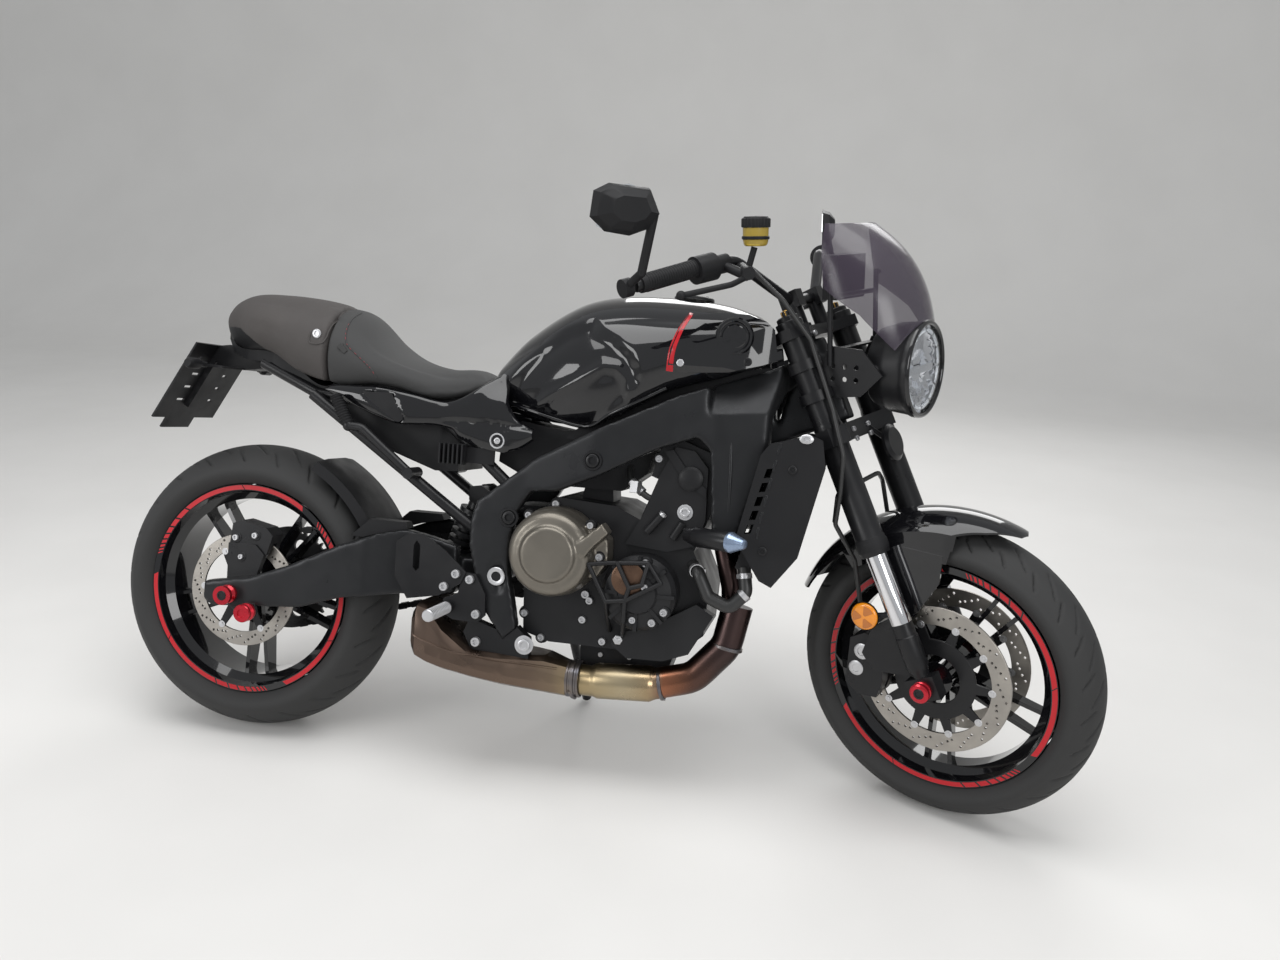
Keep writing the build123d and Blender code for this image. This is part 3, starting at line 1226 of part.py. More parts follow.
def side_stand():
    """Leg and foot, turning on the bracket's bolt under the engine's left."""
    pivot, foot = stand_points()
    eye = rod((pivot[0], 127.3, pivot[2]), (pivot[0], 147, pivot[2]), 18)
    leg = rod(pivot, foot, 11)
    return joined([eye, leg])


# Parked stance

def rest_drop():
    """How far both wheels sink, and the pitch, when the bike leans with its steering turned."""
    def reach(axle_dir, major, minor):
        return major * math.sqrt(max(0.0, 1 - axle_dir[2] ** 2)) + minor

    def crown(half, drop):
        return (half ** 2 + drop ** 2) / (2 * drop)

    def lean_point(p, lean, pitch):
        x, y, z = p
        y, z = y * math.cos(lean) + z * math.sin(lean), -y * math.sin(lean) + z * math.cos(lean)
        return (x * math.cos(pitch) + z * math.sin(pitch), y, -x * math.sin(pitch) + z * math.cos(pitch))

    lean = LEAN * DEG
    pitch = 0.0
    turned_axle = turn_point((WHEELBASE, 0, FRONT_TYRE_R), -STEERING_LOCK)
    left_of_axle = turn_point((WHEELBASE, 1, FRONT_TYRE_R), -STEERING_LOCK)
    direction = tuple(b - a for a, b in zip(turned_axle, left_of_axle))
    rear_minor = crown(REAR_TYRE_HALF, REAR_CROWN_DROP)
    front_minor = crown(FRONT_TYRE_HALF, FRONT_CROWN_DROP)
    drop = 0.0
    for _ in range(12):
        rear_dir = lean_point((0, 1, 0), lean, pitch)
        front_dir = lean_point(direction, lean, pitch)
        rear_low = lean_point((0, 0, REAR_TYRE_R), lean, pitch)[2] - reach(
            rear_dir, REAR_TYRE_R - rear_minor, rear_minor)
        front_low = lean_point(turned_axle, lean, pitch)[2] - reach(
            front_dir, FRONT_TYRE_R - front_minor, front_minor)
        pitch += (front_low - rear_low) / WHEELBASE
        drop = rear_low
    return drop, pitch


def turn_point(point, angle):
    """Turn a point about the steering axis, by degrees to the left."""
    spun = (Vector(*point) - STEER.origin).rotate(Axis((0, 0, 0), tuple(STEER.z_dir)), angle)
    return tuple(spun + STEER.origin)


STEER_AXIS = Axis(tuple(STEER.origin), tuple(STEER.z_dir))
DROP, PITCH = rest_drop()
LEANT = Pos(0, 0, -DROP) * Rot(0, PITCH / DEG, 0) * Rot(-LEAN, 0, 0)


def to_bike_point(point):
    """A point on the floor's frame, seen in the bike's frame."""
    spot = LEANT.inverse() * Pos(*point)
    return tuple(spot.position)


def nodes():
    """Every node's name, its shape in the upright bike and whether the steering carries it."""
    fixed = {
        "main_frame": group(spar(-1), spar(1), frame_head()),
        "frame_brackets": group(cross_member(), stand_bracket(), muffler_stay(), tank_rests()),
        "subframe": subframe(),
        "swingarm": swingarm(),
        "pivot_bolt": pivot_bolt(),
        "rear_axle": rear_axle(),
        "rear_caliper": rear_caliper(),
        "shock": shock(),
        "hugger": hugger(),
        "engine_block": engine_block(),
        "clutch_cover": clutch_cover(),
        "engine_covers": group(ignition_cover(), generator_cover(), sprocket_cover(), head_covers(), side_guard()),
        "exhaust_headers": exhaust_headers(),
        "muffler": muffler(),
        "radiator": radiator(),
        "radiator_cowls": group(radiator_cowl(-1), radiator_cowl(1)),
        "coolant_hose": coolant_hose(),
        "airbox": airbox(),
        "electrics": group(regulator(), battery_box()),
        "fuel_tank": fuel_tank(),
        "tank_cowls": group(tank_cowl(-1), tank_cowl(1)),
        "seat": seat(),
        "seat_cowl": seat_cowl(),
        "seat_base": seat_base(),
        "side_covers": group(side_cover(-1), side_cover(1)),
        "plate_holder": plate_holder(),
        "foot_rests": group(rear_step(-1), rear_step(1), rider_step(-1), rider_step(1)),
        "crash_sliders": group(crash_slider(-1), crash_slider(1)),
        "chain": chain(),
        "front_sprocket": front_sprocket(),
        "rear_rim": rear_rim(),
        "rear_tyre": across(tyre(REAR_TYRE_R, REAR_TYRE_HALF, REAR_CROWN_DROP, REAR_RIM_HALF), 0, REAR_TYRE_R),
        "rear_disc": rear_disc(),
        "rear_sprocket": rear_sprocket(),
        "side_stand": side_stand(),
    }
    steered = {
        "fork_legs": group(fork_leg(-1), fork_leg(1)),
        "lower_yoke": lower_yoke(),
        "upper_yoke": upper_yoke(),
        "handlebar": handlebar(),
        "grips": group(grip(-1), grip(1)),
        "controls": group(controls(-1), controls(1)),
        "fluid_reservoir": fluid_reservoir(),
        "mirrors": group(mirror_head(-1), mirror_head(1)),
        "headlight_shell": headlight_shell(),
        "headlight_lens": headlight_lens(),
        "lamp_bracket": joined([headlight_bracket(), screen_mount()]),
        "fly_screen": fly_screen(),
        "horn": horn(),
        "instrument": instrument(),
        "front_mudguard": front_mudguard(),
        "front_calipers": front_calipers(),
        "brake_hoses": brake_hoses(),
        "front_axle": front_axle(),
        "front_rim": front_rim(),
        "front_tyre": across(
            tyre(FRONT_TYRE_R, FRONT_TYRE_HALF, FRONT_CROWN_DROP, FRONT_RIM_HALF), WHEELBASE, FRONT_TYRE_R),
        "front_discs": front_discs(),
    }
    return fixed, steered


def park(fixed, steered):
    """Turn the steering to its stop, lean the bike and centre it over its footprint."""
    parked = {name: LEANT * shape for name, shape in fixed.items()}
    for name, shape in steered.items():
        parked[name] = LEANT * shape.rotate(STEER_AXIS, -STEERING_LOCK)
    boxes = [shape.bounding_box() for shape in parked.values()]
    middle_x = (min(box.min.X for box in boxes) + max(box.max.X for box in boxes)) / 2
    middle_y = (min(box.min.Y for box in boxes) + max(box.max.Y for box in boxes)) / 2
    shift = Pos(-middle_x, -middle_y, 0)
    return {name: shift * shape for name, shape in parked.items()}, shift


FIXED, STEERED = nodes()
PARKED, SHIFT = park(FIXED, STEERED)
os.makedirs("parts", exist_ok=True)
for node, shape in PARKED.items():
    export_step(shape, f"parts/{node}.step")
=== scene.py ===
"""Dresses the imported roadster: camera, light, finishes and the pieces that the solids leave plain.

Lengths in the bike's own upright frame are millimetres (x forward from the rear axle, y left, z up),
as the part's source has them. Stance carries them to the parked row frame, in metres.
"""
from __future__ import annotations

import bpy
import bmesh
import json
import logging
import math
from dataclasses import dataclass, field
from enum import Enum
from typing import Callable, Iterable, Sequence

from mathutils import Matrix, Vector
from mathutils.bvhtree import BVHTree
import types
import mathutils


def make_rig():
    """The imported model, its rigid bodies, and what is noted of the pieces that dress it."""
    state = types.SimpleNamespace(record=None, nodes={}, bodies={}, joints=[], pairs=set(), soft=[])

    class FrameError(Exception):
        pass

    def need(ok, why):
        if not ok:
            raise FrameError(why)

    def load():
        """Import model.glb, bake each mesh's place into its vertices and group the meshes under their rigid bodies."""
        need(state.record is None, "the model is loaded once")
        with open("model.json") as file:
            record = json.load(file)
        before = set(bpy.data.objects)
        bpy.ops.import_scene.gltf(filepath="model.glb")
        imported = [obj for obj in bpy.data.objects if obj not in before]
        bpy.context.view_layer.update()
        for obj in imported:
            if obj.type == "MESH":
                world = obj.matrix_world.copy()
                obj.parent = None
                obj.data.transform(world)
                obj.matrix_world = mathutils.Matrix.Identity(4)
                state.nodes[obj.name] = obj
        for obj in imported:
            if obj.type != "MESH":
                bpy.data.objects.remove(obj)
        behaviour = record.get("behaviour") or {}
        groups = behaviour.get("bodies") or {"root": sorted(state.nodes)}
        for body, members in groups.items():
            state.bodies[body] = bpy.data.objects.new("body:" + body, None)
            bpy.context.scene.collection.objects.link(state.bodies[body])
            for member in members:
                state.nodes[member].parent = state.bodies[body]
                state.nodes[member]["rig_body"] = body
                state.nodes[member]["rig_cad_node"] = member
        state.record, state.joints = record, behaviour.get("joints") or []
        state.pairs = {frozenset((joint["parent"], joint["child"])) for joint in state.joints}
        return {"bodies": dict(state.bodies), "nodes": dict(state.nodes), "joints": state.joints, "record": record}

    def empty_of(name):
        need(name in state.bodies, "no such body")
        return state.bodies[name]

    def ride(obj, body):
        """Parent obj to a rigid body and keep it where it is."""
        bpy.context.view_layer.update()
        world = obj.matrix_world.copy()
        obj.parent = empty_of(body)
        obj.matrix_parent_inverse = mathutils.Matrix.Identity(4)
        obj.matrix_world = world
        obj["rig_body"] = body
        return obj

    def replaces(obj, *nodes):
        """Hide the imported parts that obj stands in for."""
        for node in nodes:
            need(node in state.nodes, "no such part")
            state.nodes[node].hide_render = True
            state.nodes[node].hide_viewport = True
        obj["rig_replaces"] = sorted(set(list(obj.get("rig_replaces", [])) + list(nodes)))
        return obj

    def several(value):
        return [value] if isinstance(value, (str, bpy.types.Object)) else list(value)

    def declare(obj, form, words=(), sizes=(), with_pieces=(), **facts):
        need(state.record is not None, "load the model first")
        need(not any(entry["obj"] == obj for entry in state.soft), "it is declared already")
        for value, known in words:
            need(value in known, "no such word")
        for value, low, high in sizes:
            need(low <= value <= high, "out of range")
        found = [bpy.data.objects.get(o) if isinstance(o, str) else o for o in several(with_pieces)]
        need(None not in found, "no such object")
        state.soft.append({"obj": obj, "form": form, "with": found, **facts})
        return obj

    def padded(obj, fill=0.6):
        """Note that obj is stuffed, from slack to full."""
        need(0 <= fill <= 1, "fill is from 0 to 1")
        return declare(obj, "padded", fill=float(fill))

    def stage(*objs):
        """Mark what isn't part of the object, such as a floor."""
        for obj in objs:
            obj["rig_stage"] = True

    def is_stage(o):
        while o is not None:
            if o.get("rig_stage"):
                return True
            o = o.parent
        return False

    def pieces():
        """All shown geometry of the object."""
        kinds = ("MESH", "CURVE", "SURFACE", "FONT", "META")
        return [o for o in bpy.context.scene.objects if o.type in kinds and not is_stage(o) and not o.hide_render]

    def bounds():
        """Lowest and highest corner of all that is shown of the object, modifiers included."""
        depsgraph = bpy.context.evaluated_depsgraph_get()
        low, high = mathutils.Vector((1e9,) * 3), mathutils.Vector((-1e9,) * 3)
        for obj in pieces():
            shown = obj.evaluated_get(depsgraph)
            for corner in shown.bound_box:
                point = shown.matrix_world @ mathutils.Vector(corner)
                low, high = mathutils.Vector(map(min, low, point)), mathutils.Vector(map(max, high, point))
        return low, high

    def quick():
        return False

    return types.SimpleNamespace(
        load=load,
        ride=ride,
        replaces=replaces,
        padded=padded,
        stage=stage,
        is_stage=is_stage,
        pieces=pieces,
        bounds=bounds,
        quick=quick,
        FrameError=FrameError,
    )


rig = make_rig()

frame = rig.load()
CAD_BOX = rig.bounds()
LOG = logging.getLogger("roadster")

Point = Sequence[float]
Outline = Sequence[tuple[float, float]]
Line = tuple[tuple[float, float], ...]
Triple = tuple[float, float, float]
Heads = tuple[tuple[float, float, float, float], ...]
Shape = tuple[list, list]
Colour = Triple
Socket = bpy.types.NodeSocket


class Body(Enum):
    """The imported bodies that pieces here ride."""

    CHASSIS = "chassis"
    STEERING = "steering"
    FRONT_WHEEL = "front_wheel"
    REAR_WHEEL = "rear_wheel"


# The stance that the solids are parked in


@dataclass(frozen=True)
class Stance:
    """Carries points of the upright bike into the parked row frame."""

    wheelbase: float = 1495.0
    rake: float = 25.0
    offset: float = 28.9
    front_radius: float = 300.0
    rear_radius: float = 315.0
    lock: float = -28.0
    lean: float = 12.5

    def joint(self, name: str) -> dict:
        """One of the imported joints."""
        return next(j for j in frame["joints"] if j["name"] == name)

    def steer_origin(self) -> Vector:
        """A point of the steering axis beside the front axle, in the bike's frame."""
        slope = math.radians(self.rake)
        along, up = self.offset * math.cos(slope), self.offset * math.sin(slope)
        return Vector((self.wheelbase - along, 0, self.front_radius - up))

    def fork(self) -> Matrix:
        """The steering's own frame: x ahead of its axis, y left and z up along it."""
        slope = math.radians(self.rake)
        turn = Matrix.Rotation(-slope, 4, "Y")
        return Matrix.Translation(self.steer_origin()) @ turn

    def fixed(self) -> Matrix:
        """Bike frame in millimetres to row frame in metres, for what the steering doesn't carry."""
        hub = Vector(self.joint("rear_wheel_spin")["pos_m"])
        axis = Vector(self.joint("rear_wheel_spin")["axis"])
        pitch = -math.asin(axis.x / math.sin(math.radians(self.lean)))
        turn = Matrix.Rotation(pitch, 4, "Y") @ Matrix.Rotation(-math.radians(self.lean), 4, "X")
        return Matrix.Translation(hub) @ turn @ Matrix.Scale(0.001, 4) @ moved(0, 0, -self.rear_radius)

    def steered(self) -> Matrix:
        """The same for what turns with the steering, drawn straight ahead."""
        origin = Matrix.Translation(self.steer_origin())
        axis = self.fork().to_3x3() @ Vector((0, 0, 1))
        return self.fixed() @ origin @ Matrix.Rotation(math.radians(self.lock), 4, axis) @ origin.inverted()

    def of(self, body: Body) -> Matrix:
        """The matrix that fits what rides the body."""
        return self.steered() if body in (Body.STEERING, Body.FRONT_WHEEL) else self.fixed()


STANCE = Stance()


# Finishes


class Graph:
    """A material's node tree, with short calls for the nodes that the finishes use."""

    def __init__(self, name: str) -> None:
        """Start an empty material.

        Args:
            name: the material's name.
        """
        self.material = bpy.data.materials.new(name)
        self.material.use_nodes = True
        self.tree = self.material.node_tree
        self.shader = self.tree.nodes["Principled BSDF"]
        self._place: Socket | None = None

    def node(self, kind: str, **settings: object) -> bpy.types.Node:
        """Add a node and set its attributes.

        Args:
            kind: the node's type name.
            settings: attributes to set on it.

        Returns:
            The new node.
        """
        made = self.tree.nodes.new(kind)
        for key, value in settings.items():
            setattr(made, key, value)
        return made

    def link(self, source: Socket, target: Socket) -> None:
        """Join two sockets."""
        self.tree.links.new(source, target)

    def place(self) -> Socket:
        """Object coordinates: the row frame at rest, in metres."""
        if self._place is None:
            self._place = self.node("ShaderNodeTexCoord").outputs["Object"]
        return self._place

    def noise(self, scale: float, detail: float = 3.0, stretch: Point = (1, 1, 1)) -> Socket:
        """Noise over the object's coordinates.

        Args:
            scale: cells to the metre.
            detail: octaves.
            stretch: how the coordinates are scaled first.

        Returns:
            The factor's socket.
        """
        mapping = self.node("ShaderNodeMapping")
        mapping.inputs["Scale"].default_value = tuple(stretch)
        self.link(self.place(), mapping.inputs["Vector"])
        made = self.node("ShaderNodeTexNoise")
        made.inputs["Scale"].default_value = scale
        made.inputs["Detail"].default_value = detail
        self.link(mapping.outputs["Vector"], made.inputs["Vector"])
        return made.outputs["Fac"]

    def span(self, value: Socket, low: float, high: float, out_low: float, out_high: float) -> Socket:
        """Map a range of values onto another, clamped.

        Args:
            value: the socket to map.
            low: start of its range.
            high: end of its range.
            out_low: what the start becomes.
            out_high: what the end becomes.

        Returns:
            The mapped socket.
        """
        made = self.node("ShaderNodeMapRange")
        for index, number in enumerate((low, high, out_low, out_high), start=1):
            made.inputs[index].default_value = number
        self.link(value, made.inputs[0])
        return made.outputs[0]

    def mix(self, factor: Socket, first: object, second: object) -> Socket:
        """Mix two colours or colour sockets by a factor.

        Args:
            factor: 0 gives the first, 1 the second.
            first: a colour or a socket.
            second: a colour or a socket.

        Returns:
            The mixed socket.
        """
        made = self.node("ShaderNodeMix", data_type="RGBA")
        self.link(factor, made.inputs["Factor"])
        for socket, value in ((made.inputs[6], first), (made.inputs[7], second)):
            if isinstance(value, tuple):
                socket.default_value = (*value, 1.0)
            else:
                self.link(value, socket)
        return made.outputs[2]

    def bump(self, height: Socket, strength: float, distance: float) -> None:
        """Add a height to the surface's normal, over what is there already.

        Args:
            height: the height's socket.
            strength: share of the effect.
            distance: the height's scale in metres.
        """
        made = self.node("ShaderNodeBump")
        made.inputs["Strength"].default_value = strength
        made.inputs["Distance"].default_value = distance
        self.link(height, made.inputs["Height"])
        normal = self.shader.inputs["Normal"]
        if normal.is_linked:
            self.link(normal.links[0].from_socket, made.inputs["Normal"])
        self.link(made.outputs["Normal"], normal)


@dataclass(frozen=True)
class Finish:
    """A surface that is one stuff all over: colour, gloss, a fine grain and faint patches."""

    name: str
    colour: Colour
    shade: Colour
    rough: float = 0.5
    metallic: float = 0.0
    coat: float = 0.0
    coat_rough: float = 0.05
    specular: float = 0.5
    patch_scale: float = 6.0
    rough_spread: float = 0.08
    grain_scale: float = 900.0
    grain_depth: float = 0.00005
    grain_strength: float = 0.25

    def graph(self) -> Graph:
        """Build the node tree.

        Returns:
            The graph, for a special finish to add to.
        """
        made = Graph(self.name)
        patches = made.noise(self.patch_scale, 4.0)
        colour = made.mix(made.span(patches, 0.35, 0.65, 0.0, 1.0), self.colour, self.shade)
        made.link(colour, made.shader.inputs["Base Color"])
        spread = made.span(made.noise(self.patch_scale * 3.1, 5.0), 0.3, 0.7, self.rough - self.rough_spread,
                           self.rough + self.rough_spread)
        made.link(spread, made.shader.inputs["Roughness"])
        made.shader.inputs["Metallic"].default_value = self.metallic
        made.shader.inputs["Coat Weight"].default_value = self.coat
        made.shader.inputs["Coat Roughness"].default_value = self.coat_rough
        made.shader.inputs["Specular IOR Level"].default_value = self.specular
        if self.grain_strength > 0:
            made.bump(made.noise(self.grain_scale, 2.0), self.grain_strength, self.grain_depth)
        return made

    def material(self) -> bpy.types.Material:
        """The finished material, made once."""
        return bpy.data.materials.get(self.name) or self.graph().material


@dataclass(frozen=True)
class HeatTint(Finish):
    """Steel that has turned straw, bronze and violet with heat, by its place along the bike."""

    stops: tuple[tuple[float, Colour], ...] = ()
    start: float = -0.35
    end: float = 0.45
    dark: Colour = (0.06, 0.04, 0.038)
    dark_from: float = 0.27
    dark_to: float = 0.36

    def graph(self) -> Graph:
        """Build the node tree with the tints along X."""
        made = super().graph()
        split = made.node("ShaderNodeSeparateXYZ")
        made.link(made.place(), split.inputs[0])
        along = made.span(split.outputs["X"], self.start, self.end, 0.0, 1.0)
        wobble = made.node("ShaderNodeMath", operation="ADD")
        made.link(along, wobble.inputs[0])
        made.link(made.span(made.noise(9.0, 4.0), 0.2, 0.8, -0.025, 0.025), wobble.inputs[1])
        ramp = made.node("ShaderNodeValToRGB")
        for index, (spot, colour) in enumerate(self.stops):
            if index < 2:
                ramp.color_ramp.elements[index].position = spot
                ramp.color_ramp.elements[index].color = (*colour, 1.0)
            else:
                ramp.color_ramp.elements.new(spot).color = (*colour, 1.0)
        made.link(wobble.outputs[0], ramp.inputs[0])
        high = made.span(split.outputs["Z"], self.dark_from, self.dark_to, 0.0, 1.0)
        made.link(made.mix(high, ramp.outputs["Color"], self.dark), made.shader.inputs["Base Color"])
        return made


@dataclass(frozen=True)
class Clear(Finish):
    """Glass or tinted plastic that light passes through."""

    see_through: float = 1.0
    ior: float = 1.46
    alpha: float = 1.0

    def graph(self) -> Graph:
        """Build the node tree with transmission."""
        made = super().graph()
        made.shader.inputs["Transmission Weight"].default_value = self.see_through
        made.shader.inputs["IOR"].default_value = self.ior
        made.shader.inputs["Alpha"].default_value = self.alpha
        return made


GLOSS_BLACK = Finish("gloss_black_paint", (0.004, 0.004, 0.005), (0.006, 0.006, 0.007), rough=0.1, coat=0.9,
                     coat_rough=0.02, specular=0.15, rough_spread=0.03, grain_strength=0.0)
GRAPHITE = Finish("satin_graphite_alloy", (0.02, 0.0205, 0.022), (0.025, 0.0255, 0.027), rough=0.34,
                  metallic=0.5, specular=0.3, grain_scale=1400, grain_strength=0.1)
BLACK_STEEL = Finish("satin_black_steel", (0.007, 0.007, 0.008), (0.011, 0.011, 0.012), rough=0.34,
                     specular=0.3, grain_strength=0.1)
MATTE_BLACK = Finish("matte_black_plastic", (0.009, 0.009, 0.01), (0.012, 0.012, 0.013), rough=0.5,
                     specular=0.22, grain_scale=1600, grain_strength=0.3)
ENGINE_BLACK = Finish("cast_engine_black", (0.009, 0.009, 0.01), (0.014, 0.014, 0.015), rough=0.42,
                      specular=0.28, grain_scale=700, grain_strength=0.35, grain_depth=0.0001)
ENGINE_BRONZE = Finish("cast_bronze_grey", (0.19, 0.172, 0.145), (0.16, 0.147, 0.125), rough=0.36,
                       metallic=0.75, grain_scale=1100, grain_strength=0.15)
BARE_STEEL = Finish("bare_steel", (0.45, 0.44, 0.42), (0.36, 0.35, 0.34), rough=0.34, metallic=1.0,
                    grain_strength=0.1)
DISC_STEEL = Finish("ground_disc_steel", (0.4, 0.375, 0.34), (0.33, 0.31, 0.285), rough=0.38, metallic=1.0,
                    patch_scale=20, grain_strength=0.15)
CHROME = Finish("chrome", (0.78, 0.78, 0.79), (0.7, 0.7, 0.72), rough=0.08, metallic=1.0, rough_spread=0.03,
                grain_strength=0.0)
RED_ALLOY = Finish("red_anodised_alloy", (0.55, 0.012, 0.03), (0.42, 0.01, 0.022), rough=0.28, metallic=0.75,
                   coat=0.4, grain_strength=0.05)
WHITE_LENS = Finish("pale_light_ring", (0.78, 0.8, 0.82), (0.72, 0.74, 0.76), rough=0.25, coat=0.5,
                    grain_strength=0.0)
MIRROR_GLASS = Finish("silvered_glass", (0.8, 0.82, 0.83), (0.76, 0.78, 0.79), rough=0.03, metallic=1.0,
                      rough_spread=0.01, coat=0.5, grain_strength=0.0)
COPPER_BROWN = Finish("copper_brown", (0.085, 0.05, 0.035), (0.12, 0.07, 0.045), rough=0.32, metallic=0.8,
                      patch_scale=30, grain_strength=0.05)
BLUE_STEEL = Finish("heat_blue_steel", (0.13, 0.135, 0.16), (0.2, 0.17, 0.15), rough=0.35, metallic=0.95,
                    patch_scale=25, grain_strength=0.1)
PALE_BLUE_ALLOY = Finish("pale_blue_alloy", (0.3, 0.38, 0.52), (0.26, 0.33, 0.46), rough=0.3, metallic=0.85,
                         grain_strength=0.05)
RED_THREAD = Finish("red_thread", (0.22, 0.035, 0.04), (0.16, 0.03, 0.035), rough=0.8, grain_strength=0.2)
RED_FILM = Finish("red_rim_film", (0.5, 0.01, 0.018), (0.42, 0.008, 0.015), rough=0.35, coat=0.2,
                  specular=0.3, grain_strength=0.0)
TYRE_RUBBER = Finish("tyre_rubber", (0.008, 0.008, 0.009), (0.012, 0.012, 0.0125), rough=0.6, specular=0.25,
                     grain_scale=900, grain_strength=0.3)
GRIP_RUBBER = Finish("grip_rubber", (0.008, 0.008, 0.009), (0.012, 0.012, 0.013), rough=0.6, specular=0.25,
                     grain_strength=0.3)
HOSE_RUBBER = Finish("hose_rubber", (0.009, 0.009, 0.01), (0.013, 0.013, 0.014), rough=0.4, specular=0.3,
                     grain_strength=0.2)
SEAT_VINYL = Finish("seat_vinyl", (0.017, 0.017, 0.018), (0.022, 0.022, 0.023), rough=0.46, specular=0.35,
                    grain_scale=420, grain_strength=0.45, grain_depth=0.0002)
COWL_CLOTH = Finish("cowl_cover", (0.058, 0.053, 0.051), (0.068, 0.062, 0.059), rough=0.7, specular=0.3,
                    grain_scale=1500, grain_strength=0.4, grain_depth=0.0001)
AMBER = Finish("amber_plastic", (0.85, 0.3, 0.01), (0.75, 0.24, 0.01), rough=0.15, coat=0.6,
               grain_strength=0.0)
DEEP_AMBER = Finish("deep_amber_plastic", (0.5, 0.15, 0.005), (0.42, 0.12, 0.005), rough=0.2, coat=0.6,
                    grain_strength=0.0)
FLUID_CUP = Clear("fluid_cup", (0.5, 0.36, 0.06), (0.42, 0.3, 0.05), rough=0.12, see_through=0.35,
                  grain_strength=0.0)
LENS = Clear("lamp_glass", (0.97, 0.98, 1.0), (0.93, 0.95, 0.97), rough=0.02, rough_spread=0.01,
             see_through=1.0, ior=1.12, grain_strength=0.0)
SMOKED = Clear("smoked_screen", (0.022, 0.016, 0.022), (0.017, 0.013, 0.018), rough=0.07, rough_spread=0.02,
               coat=0.5, see_through=0.85, alpha=0.86, ior=1.2, grain_strength=0.0)
GOLD = Finish("gold_anodised_alloy", (0.6, 0.36, 0.1), (0.5, 0.3, 0.08), rough=0.3, metallic=0.9,
              grain_strength=0.05)
PIPE_TINTS = ((0.51, (0.36, 0.28, 0.16)), (0.6, (0.42, 0.35, 0.23)), (0.67, (0.36, 0.27, 0.16)),
              (0.7, (0.26, 0.165, 0.11)), (0.715, (0.3, 0.125, 0.07)), (0.755, (0.2, 0.09, 0.055)),
              (0.79, (0.1, 0.055, 0.043)), (0.85, (0.055, 0.04, 0.038)))
HEADER_STEEL = HeatTint("header_steel", (0.2, 0.1, 0.07), (0.2, 0.1, 0.07), rough=0.3, metallic=1.0,
                        rough_spread=0.08, grain_scale=300, grain_strength=0.1,
                        stops=((0.0, (0.2, 0.14, 0.105)), (0.9, (0.045, 0.036, 0.037)), *PIPE_TINTS))
HEAT_STEEL = HeatTint("heat_tinted_steel", (0.3, 0.2, 0.12), (0.3, 0.2, 0.12), rough=0.34, metallic=1.0,
                      rough_spread=0.1, grain_scale=300, grain_strength=0.1, dark_from=0.6, dark_to=0.7,
                      stops=((0.0, (0.115, 0.085, 0.07)), (0.9, (0.06, 0.04, 0.04)),
                             (0.25, (0.14, 0.1, 0.078)), (0.38, (0.165, 0.12, 0.09)),
                             (0.44, (0.2, 0.15, 0.105)), *PIPE_TINTS))

NODE_FINISH: dict[str, Finish] = {
    "main_frame": GRAPHITE, "swingarm": GRAPHITE, "frame_brackets": BLACK_STEEL, "subframe": BLACK_STEEL,
    "pivot_bolt": BARE_STEEL, "rear_axle": RED_ALLOY, "front_axle": RED_ALLOY, "rear_caliper": BLACK_STEEL,
    "shock": BLACK_STEEL, "hugger": MATTE_BLACK, "engine_block": ENGINE_BLACK, "clutch_cover": ENGINE_BRONZE,
    "engine_covers": ENGINE_BLACK, "exhaust_headers": HEADER_STEEL, "muffler": HEAT_STEEL,
    "radiator": MATTE_BLACK, "radiator_cowls": MATTE_BLACK, "fuel_tank": GLOSS_BLACK,
    "tank_cowls": GLOSS_BLACK, "seat": SEAT_VINYL, "seat_cowl": COWL_CLOTH, "seat_base": MATTE_BLACK,
    "side_covers": GLOSS_BLACK, "plate_holder": MATTE_BLACK, "foot_rests": BLACK_STEEL,
    "crash_sliders": BLACK_STEEL, "chain": BLACK_STEEL, "front_sprocket": BARE_STEEL, "rear_rim": GLOSS_BLACK,
    "front_rim": GLOSS_BLACK, "rear_tyre": TYRE_RUBBER, "front_tyre": TYRE_RUBBER, "rear_disc": DISC_STEEL,
    "front_discs": DISC_STEEL, "rear_sprocket": BLACK_STEEL, "side_stand": BLACK_STEEL,
    "fork_legs": BLACK_STEEL, "lower_yoke": BLACK_STEEL, "upper_yoke": BLACK_STEEL, "handlebar": BLACK_STEEL,
    "grips": GRIP_RUBBER, "controls": MATTE_BLACK, "fluid_reservoir": FLUID_CUP, "mirrors": MATTE_BLACK,
    "headlight_shell": BLACK_STEEL, "headlight_lens": LENS, "lamp_bracket": BLACK_STEEL, "fly_screen": SMOKED,
    "horn": BLACK_STEEL, "instrument": MATTE_BLACK, "front_mudguard": GLOSS_BLACK,
    "front_calipers": BLACK_STEEL, "brake_hoses": HOSE_RUBBER, "coolant_hose": HOSE_RUBBER,
    "airbox": MATTE_BLACK, "electrics": MATTE_BLACK,
}


# Placing and making meshes


def moved(x: float, y: float, z: float) -> Matrix:
    """A shift."""
    return Matrix.Translation((x, y, z))


def turned(degrees: float, axis: str = "Z") -> Matrix:
    """A turn about one of the axes."""
    return Matrix.Rotation(math.radians(degrees), 4, axis)


def lathe(rows: Outline, steps: int = 48, arc: float = 360.0) -> Shape:
    """Turn an outline about Z.

    Args:
        rows: (radius, height) points of the outline; a radius of 0 closes it.
        steps: divisions of the turn.
        arc: degrees turned.

    Returns:
        Vertices and faces.
    """
    whole = arc >= 360.0
    rings = steps if whole else steps + 1
    verts, faces = [], []
    for turn in range(rings):
        angle = math.radians(arc * turn / steps)
        verts += [(r * math.cos(angle), r * math.sin(angle), h) for r, h in rows]
    count = len(rows)
    for turn in range(steps):
        other = (turn + 1) % rings
        for row in range(count - 1):
            here, there = turn * count + row, other * count + row
            faces.append((here, there, there + 1, here + 1))
    return verts, faces


